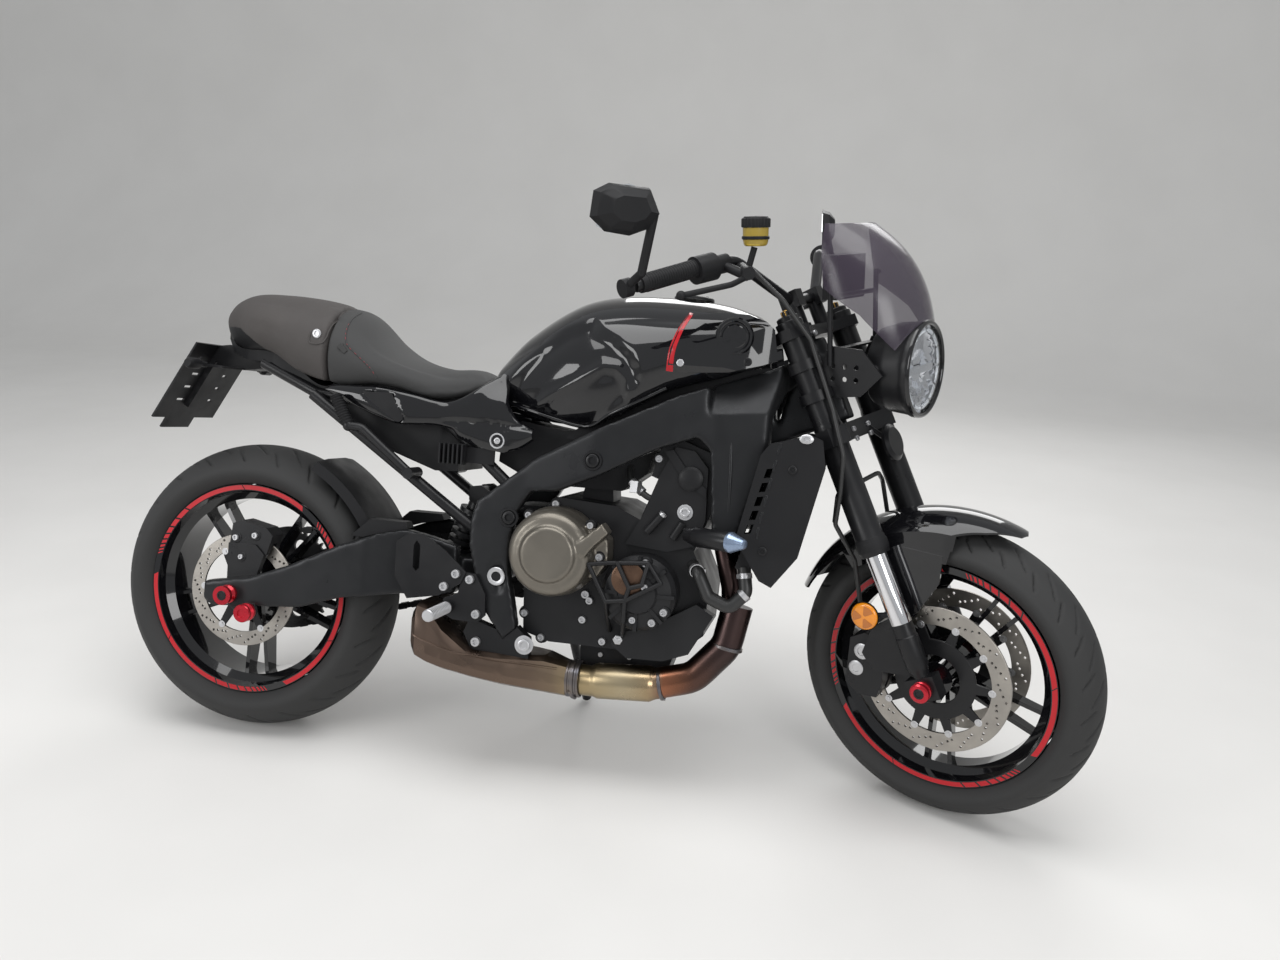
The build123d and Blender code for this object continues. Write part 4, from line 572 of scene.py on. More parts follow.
def ribbed(foot: Line, rib: Line, pitch: float, tip: Line, long: float, start: float, stop: float) -> Outline:
    """Outline (radius, height) of a sleeve with ribs along it.

    Args:
        foot: its first points.
        rib: one rib's points, from the rib's own start.
        pitch: the ribs' spacing.
        tip: its last points, with heights from its end.
        long: its length.
        start: where the ribs start.
        stop: how far from its end they stop.

    Returns:
        The outline's points.
    """
    rows = list(foot)
    while start < long - stop:
        rows += [(r, start + h) for r, h in rib]
        start += pitch
    return rows + [(r, long + h) for r, h in tip]


def prism(outline: Outline, low: float, high: float) -> Shape:
    """Raise a flat outline into a solid along Z.

    Args:
        outline: its corners in turn.
        low: height of one end.
        high: height of the other end.

    Returns:
        Vertices and faces.
    """
    count = len(outline)
    verts = [(x, y, z) for z in (low, high) for x, y in outline]
    faces = [tuple(range(count))[::-1], tuple(range(count, 2 * count))]
    faces += [(i, (i + 1) % count, count + (i + 1) % count, count + i) for i in range(count)]
    return verts, faces


def ring_of(centre: Vector, normal: Vector, side: Vector, radius: float, sides: int) -> list[Vector]:
    """Points of a circle across a path.

    Args:
        centre: the circle's middle.
        normal: the path's direction.
        side: a direction across it, where the first point lies.
        radius: the circle's radius.
        sides: how many points.

    Returns:
        The points.
    """
    other = normal.cross(side)
    turns = [2 * math.pi * k / sides for k in range(sides)]
    return [centre + radius * (math.cos(turn) * side + math.sin(turn) * other) for turn in turns]


def smooth_path(points: Sequence[Point], steps: int = 8) -> list[Vector]:
    """Points along a smooth curve through the given ones.

    Args:
        points: the points to pass through.
        steps: pieces to each stretch.

    Returns:
        The finer points.
    """
    spots = [Vector(p) for p in points]
    if len(spots) < 3:
        return spots
    spots = [2 * spots[0] - spots[1], *spots, 2 * spots[-1] - spots[-2]]
    made = []
    for a, b, c, d in zip(spots, spots[1:], spots[2:], spots[3:]):
        for step in range(steps):
            t = step / steps
            made.append(0.5 * (2 * b + (c - a) * t + (2 * a - 5 * b + 4 * c - d) * t * t
                               + (3 * b - a - 3 * c + d) * t ** 3))
    return made + [spots[-2]]


def tube(points: Sequence[Point], radius: float | Sequence[float], sides: int = 14, steps: int = 8) -> Shape:
    """A round hose or bar through points.

    Args:
        points: the points that it passes through.
        radius: one radius, or one for each point.
        sides: facets round it.
        steps: pieces to each stretch.

    Returns:
        Vertices and faces.
    """
    if len(points) < 2:
        return [], []
    path = smooth_path(points, steps)
    radii = [radius] * len(points) if isinstance(radius, (int, float)) else list(radius)
    verts, faces = [], []
    side = None
    for index, spot in enumerate(path):
        ahead = (path[min(index + 1, len(path) - 1)] - path[max(index - 1, 0)]).normalized()
        if side is None:
            side = ahead.orthogonal().normalized()
        side = (side - ahead * side.dot(ahead)).normalized()
        along = index / max(1, len(path) - 1) * (len(radii) - 1)
        near = min(int(along), len(radii) - 2) if len(radii) > 1 else 0
        wide = radii[near] + (radii[min(near + 1, len(radii) - 1)] - radii[near]) * (along - near)
        verts += ring_of(spot, ahead, side, wide, sides)
    for index in range(len(path) - 1):
        for k in range(sides):
            a, b = index * sides + k, index * sides + (k + 1) % sides
            faces.append((a, b, b + sides, a + sides))
    faces.append(tuple(range(sides))[::-1])
    faces.append(tuple(range(len(verts) - sides, len(verts))))
    return verts, faces


def pointing(at: Point, towards: Point) -> Matrix:
    """Places a shape drawn about Z so that Z points along a direction."""
    turn = Vector(towards).to_track_quat("Z", "Y").to_matrix().to_4x4()
    return Matrix.Translation(Vector(at)) @ turn


def across(x: float, y: float, z: float, side: int = -1) -> Matrix:
    """Places a shape drawn about Z so that Z points out to the right (side -1) or left (side 1)."""
    turn = turned(-90.0 * side, "X")
    return moved(x, y, z) @ turn


SIDE_VIEW = Matrix(((1, 0, 0, 0), (0, 0, 1, 0), (0, 1, 0, 0), (0, 0, 0, 1)))


@dataclass
class Piece:
    """One visible piece, drawn in the bike's frame in millimetres."""

    name: str
    body: Body
    finish: Finish
    bevel: float = 0.0
    crease_angle: float = 40.0
    replaced: tuple[str, ...] = ()
    mesh: bmesh.types.BMesh = field(default_factory=bmesh.new)

    def add(self, made: Shape, place: Matrix | None = None) -> "Piece":
        """Add vertices and faces.

        Args:
            made: vertices and faces, as the makers return them.
            place: where they go in the bike's frame.

        Returns:
            The piece, for chaining.
        """
        verts, faces = made
        place = place or Matrix.Identity(4)
        fresh = [self.mesh.verts.new(place @ Vector(v)) for v in verts]
        for face in faces:
            corners = list(dict.fromkeys(face))
            if len(corners) > 2:
                try:
                    self.mesh.faces.new([fresh[i] for i in corners])
                except ValueError:
                    continue
        return self

    def build(self) -> bpy.types.Object:
        """Make the object, finish it and let it ride its body."""
        bmesh.ops.remove_doubles(self.mesh, verts=self.mesh.verts, dist=0.01)
        bmesh.ops.recalc_face_normals(self.mesh, faces=self.mesh.faces)
        self.mesh.transform(STANCE.of(self.body))
        data = bpy.data.meshes.new(self.name)
        self.mesh.to_mesh(data)
        self.mesh.free()
        for polygon in data.polygons:
            polygon.use_smooth = True
        made = bpy.data.objects.new(self.name, data)
        bpy.context.scene.collection.objects.link(made)
        data.materials.append(self.finish.material())
        if self.bevel:
            edge = made.modifiers.new("edges", "BEVEL")
            edge.width = self.bevel
            edge.segments = 2
            edge.limit_method = "ANGLE"
            edge.angle_limit = math.radians(self.crease_angle)
        data.set_sharp_from_angle(angle=math.radians(self.crease_angle))
        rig.ride(made, self.body.value)
        if self.replaced:
            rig.replaces(made, *self.replaced)
        LOG.info("piece %s on %s, %d faces", self.name, self.body.value, len(data.polygons))
        return made


SOCKET_SCREW = [(0.0, 0.0), (1.0, 0.0), (1.0, 0.72), (0.9, 0.85), (0.55, 0.85), (0.5, 0.35), (0.0, 0.35)]


def settle(obj: bpy.types.Object) -> bpy.types.Mesh:
    """Apply an object's modifiers for good.

    Args:
        obj: the object, which keeps none of them.

    Returns:
        Its new mesh.
    """
    bpy.context.view_layer.update()
    mesh = bpy.data.meshes.new_from_object(obj.evaluated_get(bpy.context.evaluated_depsgraph_get()))
    obj.modifiers.clear()
    obj.data = mesh
    return mesh


def screw(radius: float, height: float = 1.0) -> Shape:
    """A socket screw's head about Z, standing on the surface."""
    return lathe([(r * radius, h * height * radius) for r, h in SOCKET_SCREW], 18)


def screws(name: str, body: Body, finish: Finish, rows: Iterable[Sequence[float]],
           side: int = -1) -> bpy.types.Object:
    """A row of screw heads that face out to one side.

    Args:
        name: the piece's name.
        body: what carries them.
        finish: their finish.
        rows: (x, y, z, radius) of each head's seat.
        side: -1 for heads that face right, 1 for left.

    Returns:
        The joined heads.
    """
    piece = Piece(name, body, finish)
    for x, y, z, radius in rows:
        piece.add(screw(radius), across(x, y, z, side))
    return piece.build()


# Wheels


@dataclass(frozen=True)
class Wheel:
    """A wheel's rubber, its rim's red film and its drilled discs."""

    name: str
    body: Body
    node_tyre: str
    node_discs: str
    hub_x: float
    radius: float
    half: float
    drop: float
    rim_half: float
    film_turn: float
    disc_sides: tuple[float, ...]
    disc_radius: float
    disc_inner: float
    carrier_radius: float
    arms: int
    groove_count: int
    carrier_inner: float = 24.0
    groove_depth: float = 5.5
    groove_width: float = 8.5
    steps: int = 720
    flange_radius: float = 229.0
    disc_thick: float = 5.0
    hole_count: int = 36
    hole_radius: float = 2.7
    tread_share: float = 0.93
    film_inner: float = 218.0
    film_outer: float = 227.6
    film_slant: float = 1.6

    def place(self) -> Matrix:
        """The wheel's own frame: Z points left, and X forward."""
        return moved(self.hub_x, 0, self.radius) @ turned(-90, "X")

    def section(self) -> list[Triple]:
        """Outline from bead to bead as (radius, y, share of the tread's half width, or 2 on the wall)."""
        crown = (self.half ** 2 + self.drop ** 2) / (2 * self.drop)
        reach = math.asin(self.half / crown)
        reach = (reach if self.drop < self.half else math.pi - reach) * self.tread_share
        rows = []
        for step in range(-28, 29):
            angle = reach * step / 28
            rows.append((self.radius - crown + crown * math.cos(angle), crown * math.sin(angle), step / 28))
        last_r, last_y, _ = rows[-1]
        bead_r, bead_y = self.flange_radius + 2.0, self.rim_half - 3.8
        wall = []
        for step in range(1, 11):
            t = step / 10
            bulge = 9.0 * math.sin(math.pi * t) ** 0.8
            wall.append((last_r + (bead_r - last_r) * t, last_y + (bead_y - last_y) * t ** 1.4 + bulge, 2.0))
        return [(r, -y, 2.0) for r, y, _ in reversed(wall)] + rows + wall

    def groove(self, turn: float, share: float) -> float:
        """How deep a groove is at a place on the tread.

        Args:
            turn: angle round the wheel in radians.
            share: place across the tread, from -1 to 1.

        Returns:
            Depth in millimetres.
        """
        deepest = 0.0
        pitch = 2 * math.pi / self.groove_count
        place = abs(share)
        for phase, inner, outer, slant in ((0.0, 0.1, 0.66, 0.85), (0.5, 0.42, 0.93, 0.6)):
            if not inner < place < outer:
                continue
            shift = 0.25 * pitch if share > 0 else 0.0
            local = (turn + shift + phase * pitch - slant * pitch * place * 1.5) % pitch
            off = min(local, pitch - local) * self.radius
            taper = min(1.0, (place - inner) / 0.1, (outer - place) / 0.1)
            wide = self.groove_width * 0.5 * taper
            if off < wide:
                deepest = max(deepest, self.groove_depth * min(1.0, 1.6 * (1 - off / wide)) * taper)
        return deepest

    def tyre(self) -> None:
        """Rubber with slanted grooves across its crown."""
        section = self.section()
        piece = Piece(self.name + "_tyre", self.body, TYRE_RUBBER, crease_angle=70,
                      replaced=(self.node_tyre,))
        verts, faces = [], []
        count = len(section)
        for step in range(self.steps):
            turn = 2 * math.pi * step / self.steps
            for r, y, share in section:
                depth = self.groove(turn, share) if abs(share) < 1 else 0.0
                verts.append(((r - depth) * math.cos(turn), (r - depth) * math.sin(turn), y))
            other = (step + 1) % self.steps
            faces += [(step * count + k, other * count + k, other * count + k + 1, step * count + k + 1)
                      for k in range(count - 1)]
        piece.add((verts, faces), self.place()).build()
        lines = Piece(self.name + "_tyre_lines", self.body, TYRE_RUBBER)
        for side in (-1, 1):
            for radius, y in ((self.flange_radius + 7, self.rim_half + 1.5),
                              (self.flange_radius + 16, self.rim_half + 5)):
                rows = [(radius - 1.2, side * (y - 1)), (radius, side * (y + 0.9)),
                        (radius + 1.2, side * (y - 1))]
                lines.add(lathe(rows, 120), self.place())
        lines.build()

    def film(self) -> None:
        """Three bands of film on each lip, solid at first and then breaking up in slanted slashes."""
        piece = Piece(self.name + "_rim_film", self.body, RED_FILM, crease_angle=30)
        pieces, spot, wide = [(0.0, 38.0), (38.6, 76.0)], 77.0, 7.0
        for _ in range(8):
            pieces.append((spot, spot + wide))
            spot += wide + 1.1
            wide *= 0.72
        for side in (-1, 1):
            y = side * (self.rim_half + 0.35)
            for start in (self.film_turn, self.film_turn + 120.0, self.film_turn + 240.0):
                for low, high in pieces:
                    count = max(2, int((high - low) / 2.0))
                    verts = []
                    for k in range(count + 1):
                        angle = start + low + (high - low) * k / count
                        for r, lead in ((self.film_inner, 0.0), (self.film_outer, self.film_slant)):
                            turn = math.radians(side * (angle + lead))
                            verts.append((r * math.cos(turn), r * math.sin(turn), y))
                    faces = [(2 * k, 2 * k + 1, 2 * k + 3, 2 * k + 2) for k in range(count)]
                    piece.add((verts, faces), self.place())
        piece.build()

    def pins(self) -> bpy.types.Object:
        """Pins where the friction rings are drilled, in the row's frame.

        Returns:
            The object that holds them.
        """
        data = bpy.data.meshes.new(self.name + "_cutter")
        build = bmesh.new()
        middle = (self.disc_radius + self.disc_inner) / 2
        reach = (self.disc_radius - self.disc_inner) * 0.26
        for side_y in self.disc_sides:
            for hole in range(self.hole_count):
                angle = 2 * math.pi * hole / self.hole_count
                for row in range(2):
                    r = middle + reach * (1.0 if (hole + row) % 2 else -0.35) * (1 if row else -0.7)
                    turn = angle + row * math.pi / self.hole_count * 0.9
                    place = self.place() @ moved(r * math.cos(turn), r * math.sin(turn), side_y)
                    bmesh.ops.create_cone(build, cap_ends=True, segments=14, radius1=self.hole_radius,
                                          radius2=self.hole_radius, depth=9, matrix=place)
        build.transform(STANCE.of(self.body))
        build.to_mesh(data)
        build.free()
        cutter = bpy.data.objects.new(self.name + "_cutter", data)
        bpy.context.scene.collection.objects.link(cutter)
        return cutter

    @staticmethod
    def drill(ring: bpy.types.Object, cutter: bpy.types.Object) -> None:
        """Cut a friction ring's holes for good, and drop the pins.

        Args:
            ring: what is drilled.
            cutter: the pins.
        """
        cut = ring.modifiers.new("holes", "BOOLEAN")
        cut.object = cutter
        cut.solver = "EXACT"
        settle(ring).set_sharp_from_angle(angle=math.radians(30))
        bpy.data.objects.remove(cutter)

    def spider(self, carrier: Piece, buttons: Piece, place: Matrix) -> None:
        """A disc's carrier with its arms, and a button at each arm's end.

        Args:
            carrier: what the carrier is added to.
            buttons: what the buttons are added to.
            place: the disc's own frame.
        """
        thick = self.disc_thick / 2
        hub = [(self.carrier_inner, -thick), (self.carrier_radius, -thick), (self.carrier_radius, thick),
               (self.carrier_inner, thick), (self.carrier_inner, -thick)]
        carrier.add(lathe(hub, 64), place)
        near, far = self.carrier_radius - 3, self.disc_inner + 3
        bar = [(near, -11), (far, -6.5), (far, 6.5), (near, 11)]
        knob = lathe([(0, 1.6), (3.4, 1.6), (3.8, 0.4), (7.2, 0.4), (7.6, 0)], 20)
        for arm in range(self.arms):
            turn = Matrix.Rotation(2 * math.pi * arm / self.arms, 4, "Z")
            carrier.add(prism(bar, -thick + 0.3, thick - 0.3), place @ turn)
            for face in (-1, 1):
                flip = Matrix.Rotation(0 if face > 0 else math.pi, 4, "X")
                buttons.add(knob, place @ turn @ moved(far - 2.5, 0, face * thick) @ flip)

    def disc(self) -> None:
        """Ground friction rings with drilled holes, dark carriers and their buttons."""
        cutter = self.pins()
        ring = Piece(self.name + "_disc_rings", self.body, DISC_STEEL, crease_angle=30,
                     replaced=(self.node_discs,))
        carrier = Piece(self.name + "_disc_carriers", self.body, BLACK_STEEL, bevel=0.0006)
        buttons = Piece(self.name + "_disc_buttons", self.body, BARE_STEEL)
        thick, edge = self.disc_thick / 2, 0.6
        outline = [(self.disc_inner, -thick), (self.disc_radius - edge, -thick),
                   (self.disc_radius, -thick + edge), (self.disc_radius, thick - edge),
                   (self.disc_radius - edge, thick), (self.disc_inner, thick), (self.disc_inner, -thick)]
        for side_y in self.disc_sides:
            place = self.place() @ moved(0, 0, side_y)
            ring.add(lathe(outline, 144), place)
            self.spider(carrier, buttons, place)
        self.drill(ring.build(), cutter)
        carrier.build()
        buttons.build()

    def build(self) -> None:
        """Everything that the solids leave plain on this wheel."""
        self.tyre()
        self.film()
        self.disc()


# Bodywork


def arc_through(first: Point, middle: Point, last: Point, count: int) -> list[tuple[float, float]]:
    """Points of the flat arc through three points, or of the line where they don't bend.

    Args:
        first: where it starts.
        middle: a point on it.
        last: where it ends.
        count: pieces.

    Returns:
        The points, ends included.
    """
    (ax, ay), (bx, by), (cx, cy) = first, middle, last
    twice = 2 * (ax * (by - cy) + bx * (cy - ay) + cx * (ay - by))
    if abs(twice) < 1e-3:
        return [(ax + (cx - ax) * k / count, ay + (cy - ay) * k / count) for k in range(count + 1)]
    a, b, c = (x * x + y * y for x, y in (first, middle, last))
    ox = (a * (by - cy) + b * (cy - ay) + c * (ay - by)) / twice
    oy = (a * (cx - bx) + b * (ax - cx) + c * (bx - ax)) / twice
    radius = math.hypot(ax - ox, ay - oy)
    start, via, end = (math.atan2(y - oy, x - ox) for x, y in (first, middle, last))
    via = start + (via - start) % (2 * math.pi)
    end = start + (end - start) % (2 * math.pi)
    if via > end:
        end -= 2 * math.pi
    return [(ox + radius * math.cos(start + (end - start) * k / count),
             oy + radius * math.sin(start + (end - start) * k / count)) for k in range(count + 1)]


def edge_gap(x: float, z: float, outline: Outline, closed: bool = True) -> float:
    """Distance from a point to an outline's nearest edge.

    Args:
        x: the point's first coordinate.
        z: its second coordinate.
        outline: the outline's corners.
        closed: whether the last corner joins the first.

    Returns:
        The distance.
    """
    best = 1e9
    ends = outline[1:] + outline[:1] if closed else outline[1:]
    for (ax, az), (bx, bz) in zip(outline, ends):
        dx, dz = bx - ax, bz - az
        share = max(0.0, min(1.0, ((x - ax) * dx + (z - az) * dz) / max(1e-9, dx * dx + dz * dz)))
        best = min(best, math.hypot(x - ax - share * dx, z - az - share * dz))
    return best


def within(x: float, z: float, outline: Outline) -> bool:
    """Whether a point lies inside a closed outline.

    Args:
        x: the point's first coordinate.
        z: its second coordinate.
        outline: the outline's corners.

    Returns:
        True inside.
    """
    inside = False
    for (ax, az), (bx, bz) in zip(outline, outline[1:] + outline[:1]):
        if (az > z) != (bz > z) and x < (bx - ax) * (z - az) / (bz - az) + ax:
            inside = not inside
    return inside


def ease(value: float) -> float:
    """A smooth step from 0 to 1."""
    value = max(0.0, min(1.0, value))
    return value * value * (3 - 2 * value)


class Skin:
    """A surface that trims and seams are laid on, by casting onto it across the bike."""

    def __init__(self, *objects: bpy.types.Object, body: Body = Body.CHASSIS) -> None:
        """Read the objects' final meshes.

        Args:
            objects: what is laid on.
            body: the body whose upright frame the points are in.
        """
        bpy.context.view_layer.update()
        graph = bpy.context.evaluated_depsgraph_get()
        back = STANCE.of(body).inverted()
        spots, faces = [], []
        for obj in objects:
            made = obj.evaluated_get(graph)
            mesh = made.to_mesh()
            faces += [tuple(len(spots) + i for i in p.vertices) for p in mesh.polygons]
            spots += [back @ v.co for v in mesh.vertices]
            made.to_mesh_clear()
        self.tree = BVHTree.FromPolygons(spots, faces)

    def side(self, x: float, z: float, side: int = -1, lift: float = 0.0) -> Vector | None:
        """The outermost point at (x, z), seen from one side, lifted off by a little."""
        hit, normal, _, _ = self.tree.ray_cast(Vector((x, side * 700.0, z)), Vector((0, -side, 0)))
        return None if hit is None else hit + normal * lift

    def top(self, x: float, y: float, lift: float = 0.0) -> Vector | None:
        """The highest point at (x, y), lifted off by a little."""
        hit, normal, _, _ = self.tree.ray_cast(Vector((x, y, 1600.0)), Vector((0, 0, -1)))
        return None if hit is None else hit + normal * lift

    def along(self, points: Outline, side: int, lift: float, step: float = 5.0) -> list[Vector]:
        """Points on the surface along a line of (x, z) points.

        Args:
            points: the line, seen from the side.
            side: -1 for the right, 1 for the left.
            lift: height over the surface.
            step: spacing of the points found.

        Returns:
            The points that the surface has.
        """
        fine = smooth_path([(x, 0, z) for x, z in points], 6)
        found, last = [], None
        for spot in fine:
            if last is not None and (spot - last).length < step:
                continue
            hit = self.side(spot.x, spot.z, side, lift)
            if hit is not None:
                found.append(hit)
                last = spot
        return found

    def ribbon(self, points: Outline, width: float, side: int, lift: float) -> Shape:
        """A flat band laid along a line of (x, z) points.

        Args:
            points: the line, seen from the side.
            width: the band's width.
            side: -1 for the right, 1 for the left.
            lift: height over the surface.

        Returns:
            Vertices and faces.
        """
        fine = smooth_path([(x, 0, z) for x, z in points], 8)
        verts, faces, before = [], [], False
        for index, spot in enumerate(fine):
            ahead = (fine[min(index + 1, len(fine) - 1)] - fine[max(index - 1, 0)]).normalized()
            over = Vector((-ahead.z, 0, ahead.x)) * width / 2
            ends = [self.side(spot.x + over.x * k, spot.z + over.z * k, side, lift) for k in (-1, 0, 1)]
            if None in ends:
                before = False
                continue
            verts += ends
            if before:
                n = len(verts) - 6
                faces += [(n, n + 1, n + 4, n + 3), (n + 1, n + 2, n + 5, n + 4)]
            before = True
        return verts, faces


@dataclass(frozen=True)
class DomedRows:
    """Sections of a form with arched sides and crown, by their place along the bike."""

    rows: tuple[tuple[float, ...], ...]

    def at(self, x: float) -> list[float]:
        """The section's values at x, on a smooth curve through the rows.

        Args:
            x: place along the bike.

        Returns:
            The row's seven values there.
        """
        rows = self.rows
        near = 0
        while near < len(rows) - 2 and x > rows[near + 1][0]:
            near += 1
        gap = rows[near + 1][0] - rows[near][0]
        t = max(0.0, min(1.0, (x - rows[near][0]) / gap))
        values = []
        for k in range(1, 8):
            def slope(i: int) -> float:
                """The curve's slope at row i."""
                low, high = max(i - 1, 0), min(i + 1, len(rows) - 1)
                return (rows[high][k] - rows[low][k]) / (rows[high][0] - rows[low][0]) * gap
            a, b = rows[near][k], rows[near + 1][k]
            values.append((2 * t ** 3 - 3 * t * t + 1) * a + (t ** 3 - 2 * t * t + t) * slope(near)
                          + (3 * t * t - 2 * t ** 3) * b + (t ** 3 - t * t) * slope(near + 1))
        return values

    def section(self, x: float, sides: int, crown: int) -> list[tuple[float, float]]:
        """Points (y, z) round the whole section, from the floor's middle up the left side and down the right.

        Args:
            x: place along the bike.
            sides: pieces of each side.
            crown: pieces of half the crown.

        Returns:
            The points in turn.
        """
        low, half_low, mid, half_mid, shoulder, half_shoulder, top = self.at(x)
        side = arc_through((half_low, low), (half_mid, mid), (half_shoulder, shoulder), sides)
        over = arc_through((half_shoulder, shoulder), (0, top), (-half_shoulder, shoulder), crown * 2)
        floor = [(half_low * k / 6, low) for k in range(6)]
        half = floor + side + over[1:crown + 1]
        return half + [(-y, z) for y, z in reversed(half[1:-1])]

    def mesh(self, sides: int = 14, crown: int = 12, step: float = 6.0, ends: float = 8.0,
             shrink: float = 0.0, relief: Callable[[float, float, float], float] | None = None) -> Shape:
        """Skin the sections into a closed form with rounded ends.

        Args:
            sides: pieces of each side.
            crown: pieces of half the crown.
            step: spacing along the bike.
            ends: how far back the ends' rounding starts.
            shrink: how much smaller the form is drawn all round.
            relief: depth that (x, y, z) is pushed in towards the middle plane.

        Returns:
            Vertices and faces.
        """
        first, last = self.rows[0][0] + shrink, self.rows[-1][0] - shrink
        count = max(4, int((last - first) / step))
        spots = [first, first + ends * 0.1, first + ends * 0.4]
        spots += [first + ends + (last - first - 2 * ends) * k / count for k in range(count + 1)]
        spots += [last - ends * 0.4, last - ends * 0.1, last]
        verts, faces = [], []
        size = 0
        for x in spots:
            loop = self.section(x, sides, crown)
            size = len(loop)
            mid = sum(z for _, z in loop) / size
            near = min(x - first, last - x)
            pull = 1.0 if near >= ends else 0.86 + 0.14 * math.sqrt(max(0.0, 1 - (1 - near / ends) ** 2))
            for y, z in loop:
                y, z = y * pull, mid + (z - mid) * pull
                far = math.hypot(y, z - mid)
                if shrink and far > shrink:
                    y, z = y * (1 - shrink / far), mid + (z - mid) * (1 - shrink / far)
                depth = relief(x, y, z) if relief else 0.0
                if abs(y) > 2:
                    y -= math.copysign(min(depth, abs(y) * 0.7), y)
                verts.append((x, y, z))
        for row in range(0, (len(spots) - 1) * size, size):
            faces += [(row + k, row + (k + 1) % size, row + size + (k + 1) % size, row + size + k)
                      for k in range(size)]
        faces.append(tuple(range(size))[::-1])
        faces.append(tuple(range((len(spots) - 1) * size, len(spots) * size)))
        return verts, faces


def puff(obj: bpy.types.Object, voxel: float, pressure: float, cap: float, rounds: int,
         frames: int = 20) -> None:
    """Fill a soft form with cloth pressure, so that it swells like a stuffed cover.

    Args:
        obj: the piece, drawn slightly small.
        voxel: remesh size in metres.
        pressure: the cloth's pressure.
        cap: how far a point may move, in metres.
        rounds: how often the cover's edges are softened.
        frames: how many frames the cloth has to settle.
    """
    scene = bpy.context.scene
    remesh = obj.modifiers.new("even", "REMESH")
    remesh.mode = "VOXEL"
    remesh.voxel_size = voxel
    even = settle(obj)
    start = [v.co.copy() for v in even.vertices]
    final = start
    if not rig.quick():
        cloth = obj.modifiers.new("cover", "CLOTH")
        cloth.settings.use_pressure = True
        cloth.settings.uniform_pressure_force = pressure
        cloth.settings.effector_weights.gravity = 0.0
        cloth.settings.quality = 4
        cloth.point_cache.frame_start = 1
        cloth.point_cache.frame_end = frames
        for step in range(1, frames + 1):
            scene.frame_set(step)
        made = obj.evaluated_get(bpy.context.evaluated_depsgraph_get()).to_mesh()
        final = [v.co.copy() for v in made.vertices]
        obj.modifiers.clear()
        scene.frame_set(1)
    for vert, was, now in zip(even.vertices, start, final):
        move = now - was
        vert.co = was + (move if move.length <= cap else move * (cap / move.length))
    for polygon in even.polygons:
        polygon.use_smooth = True
    smooth = obj.modifiers.new("smooth", "SMOOTH")
    smooth.iterations = rounds
    smooth.factor = 0.5
    obj.modifiers.new("fine", "SUBSURF").levels = 1
    settle(obj)


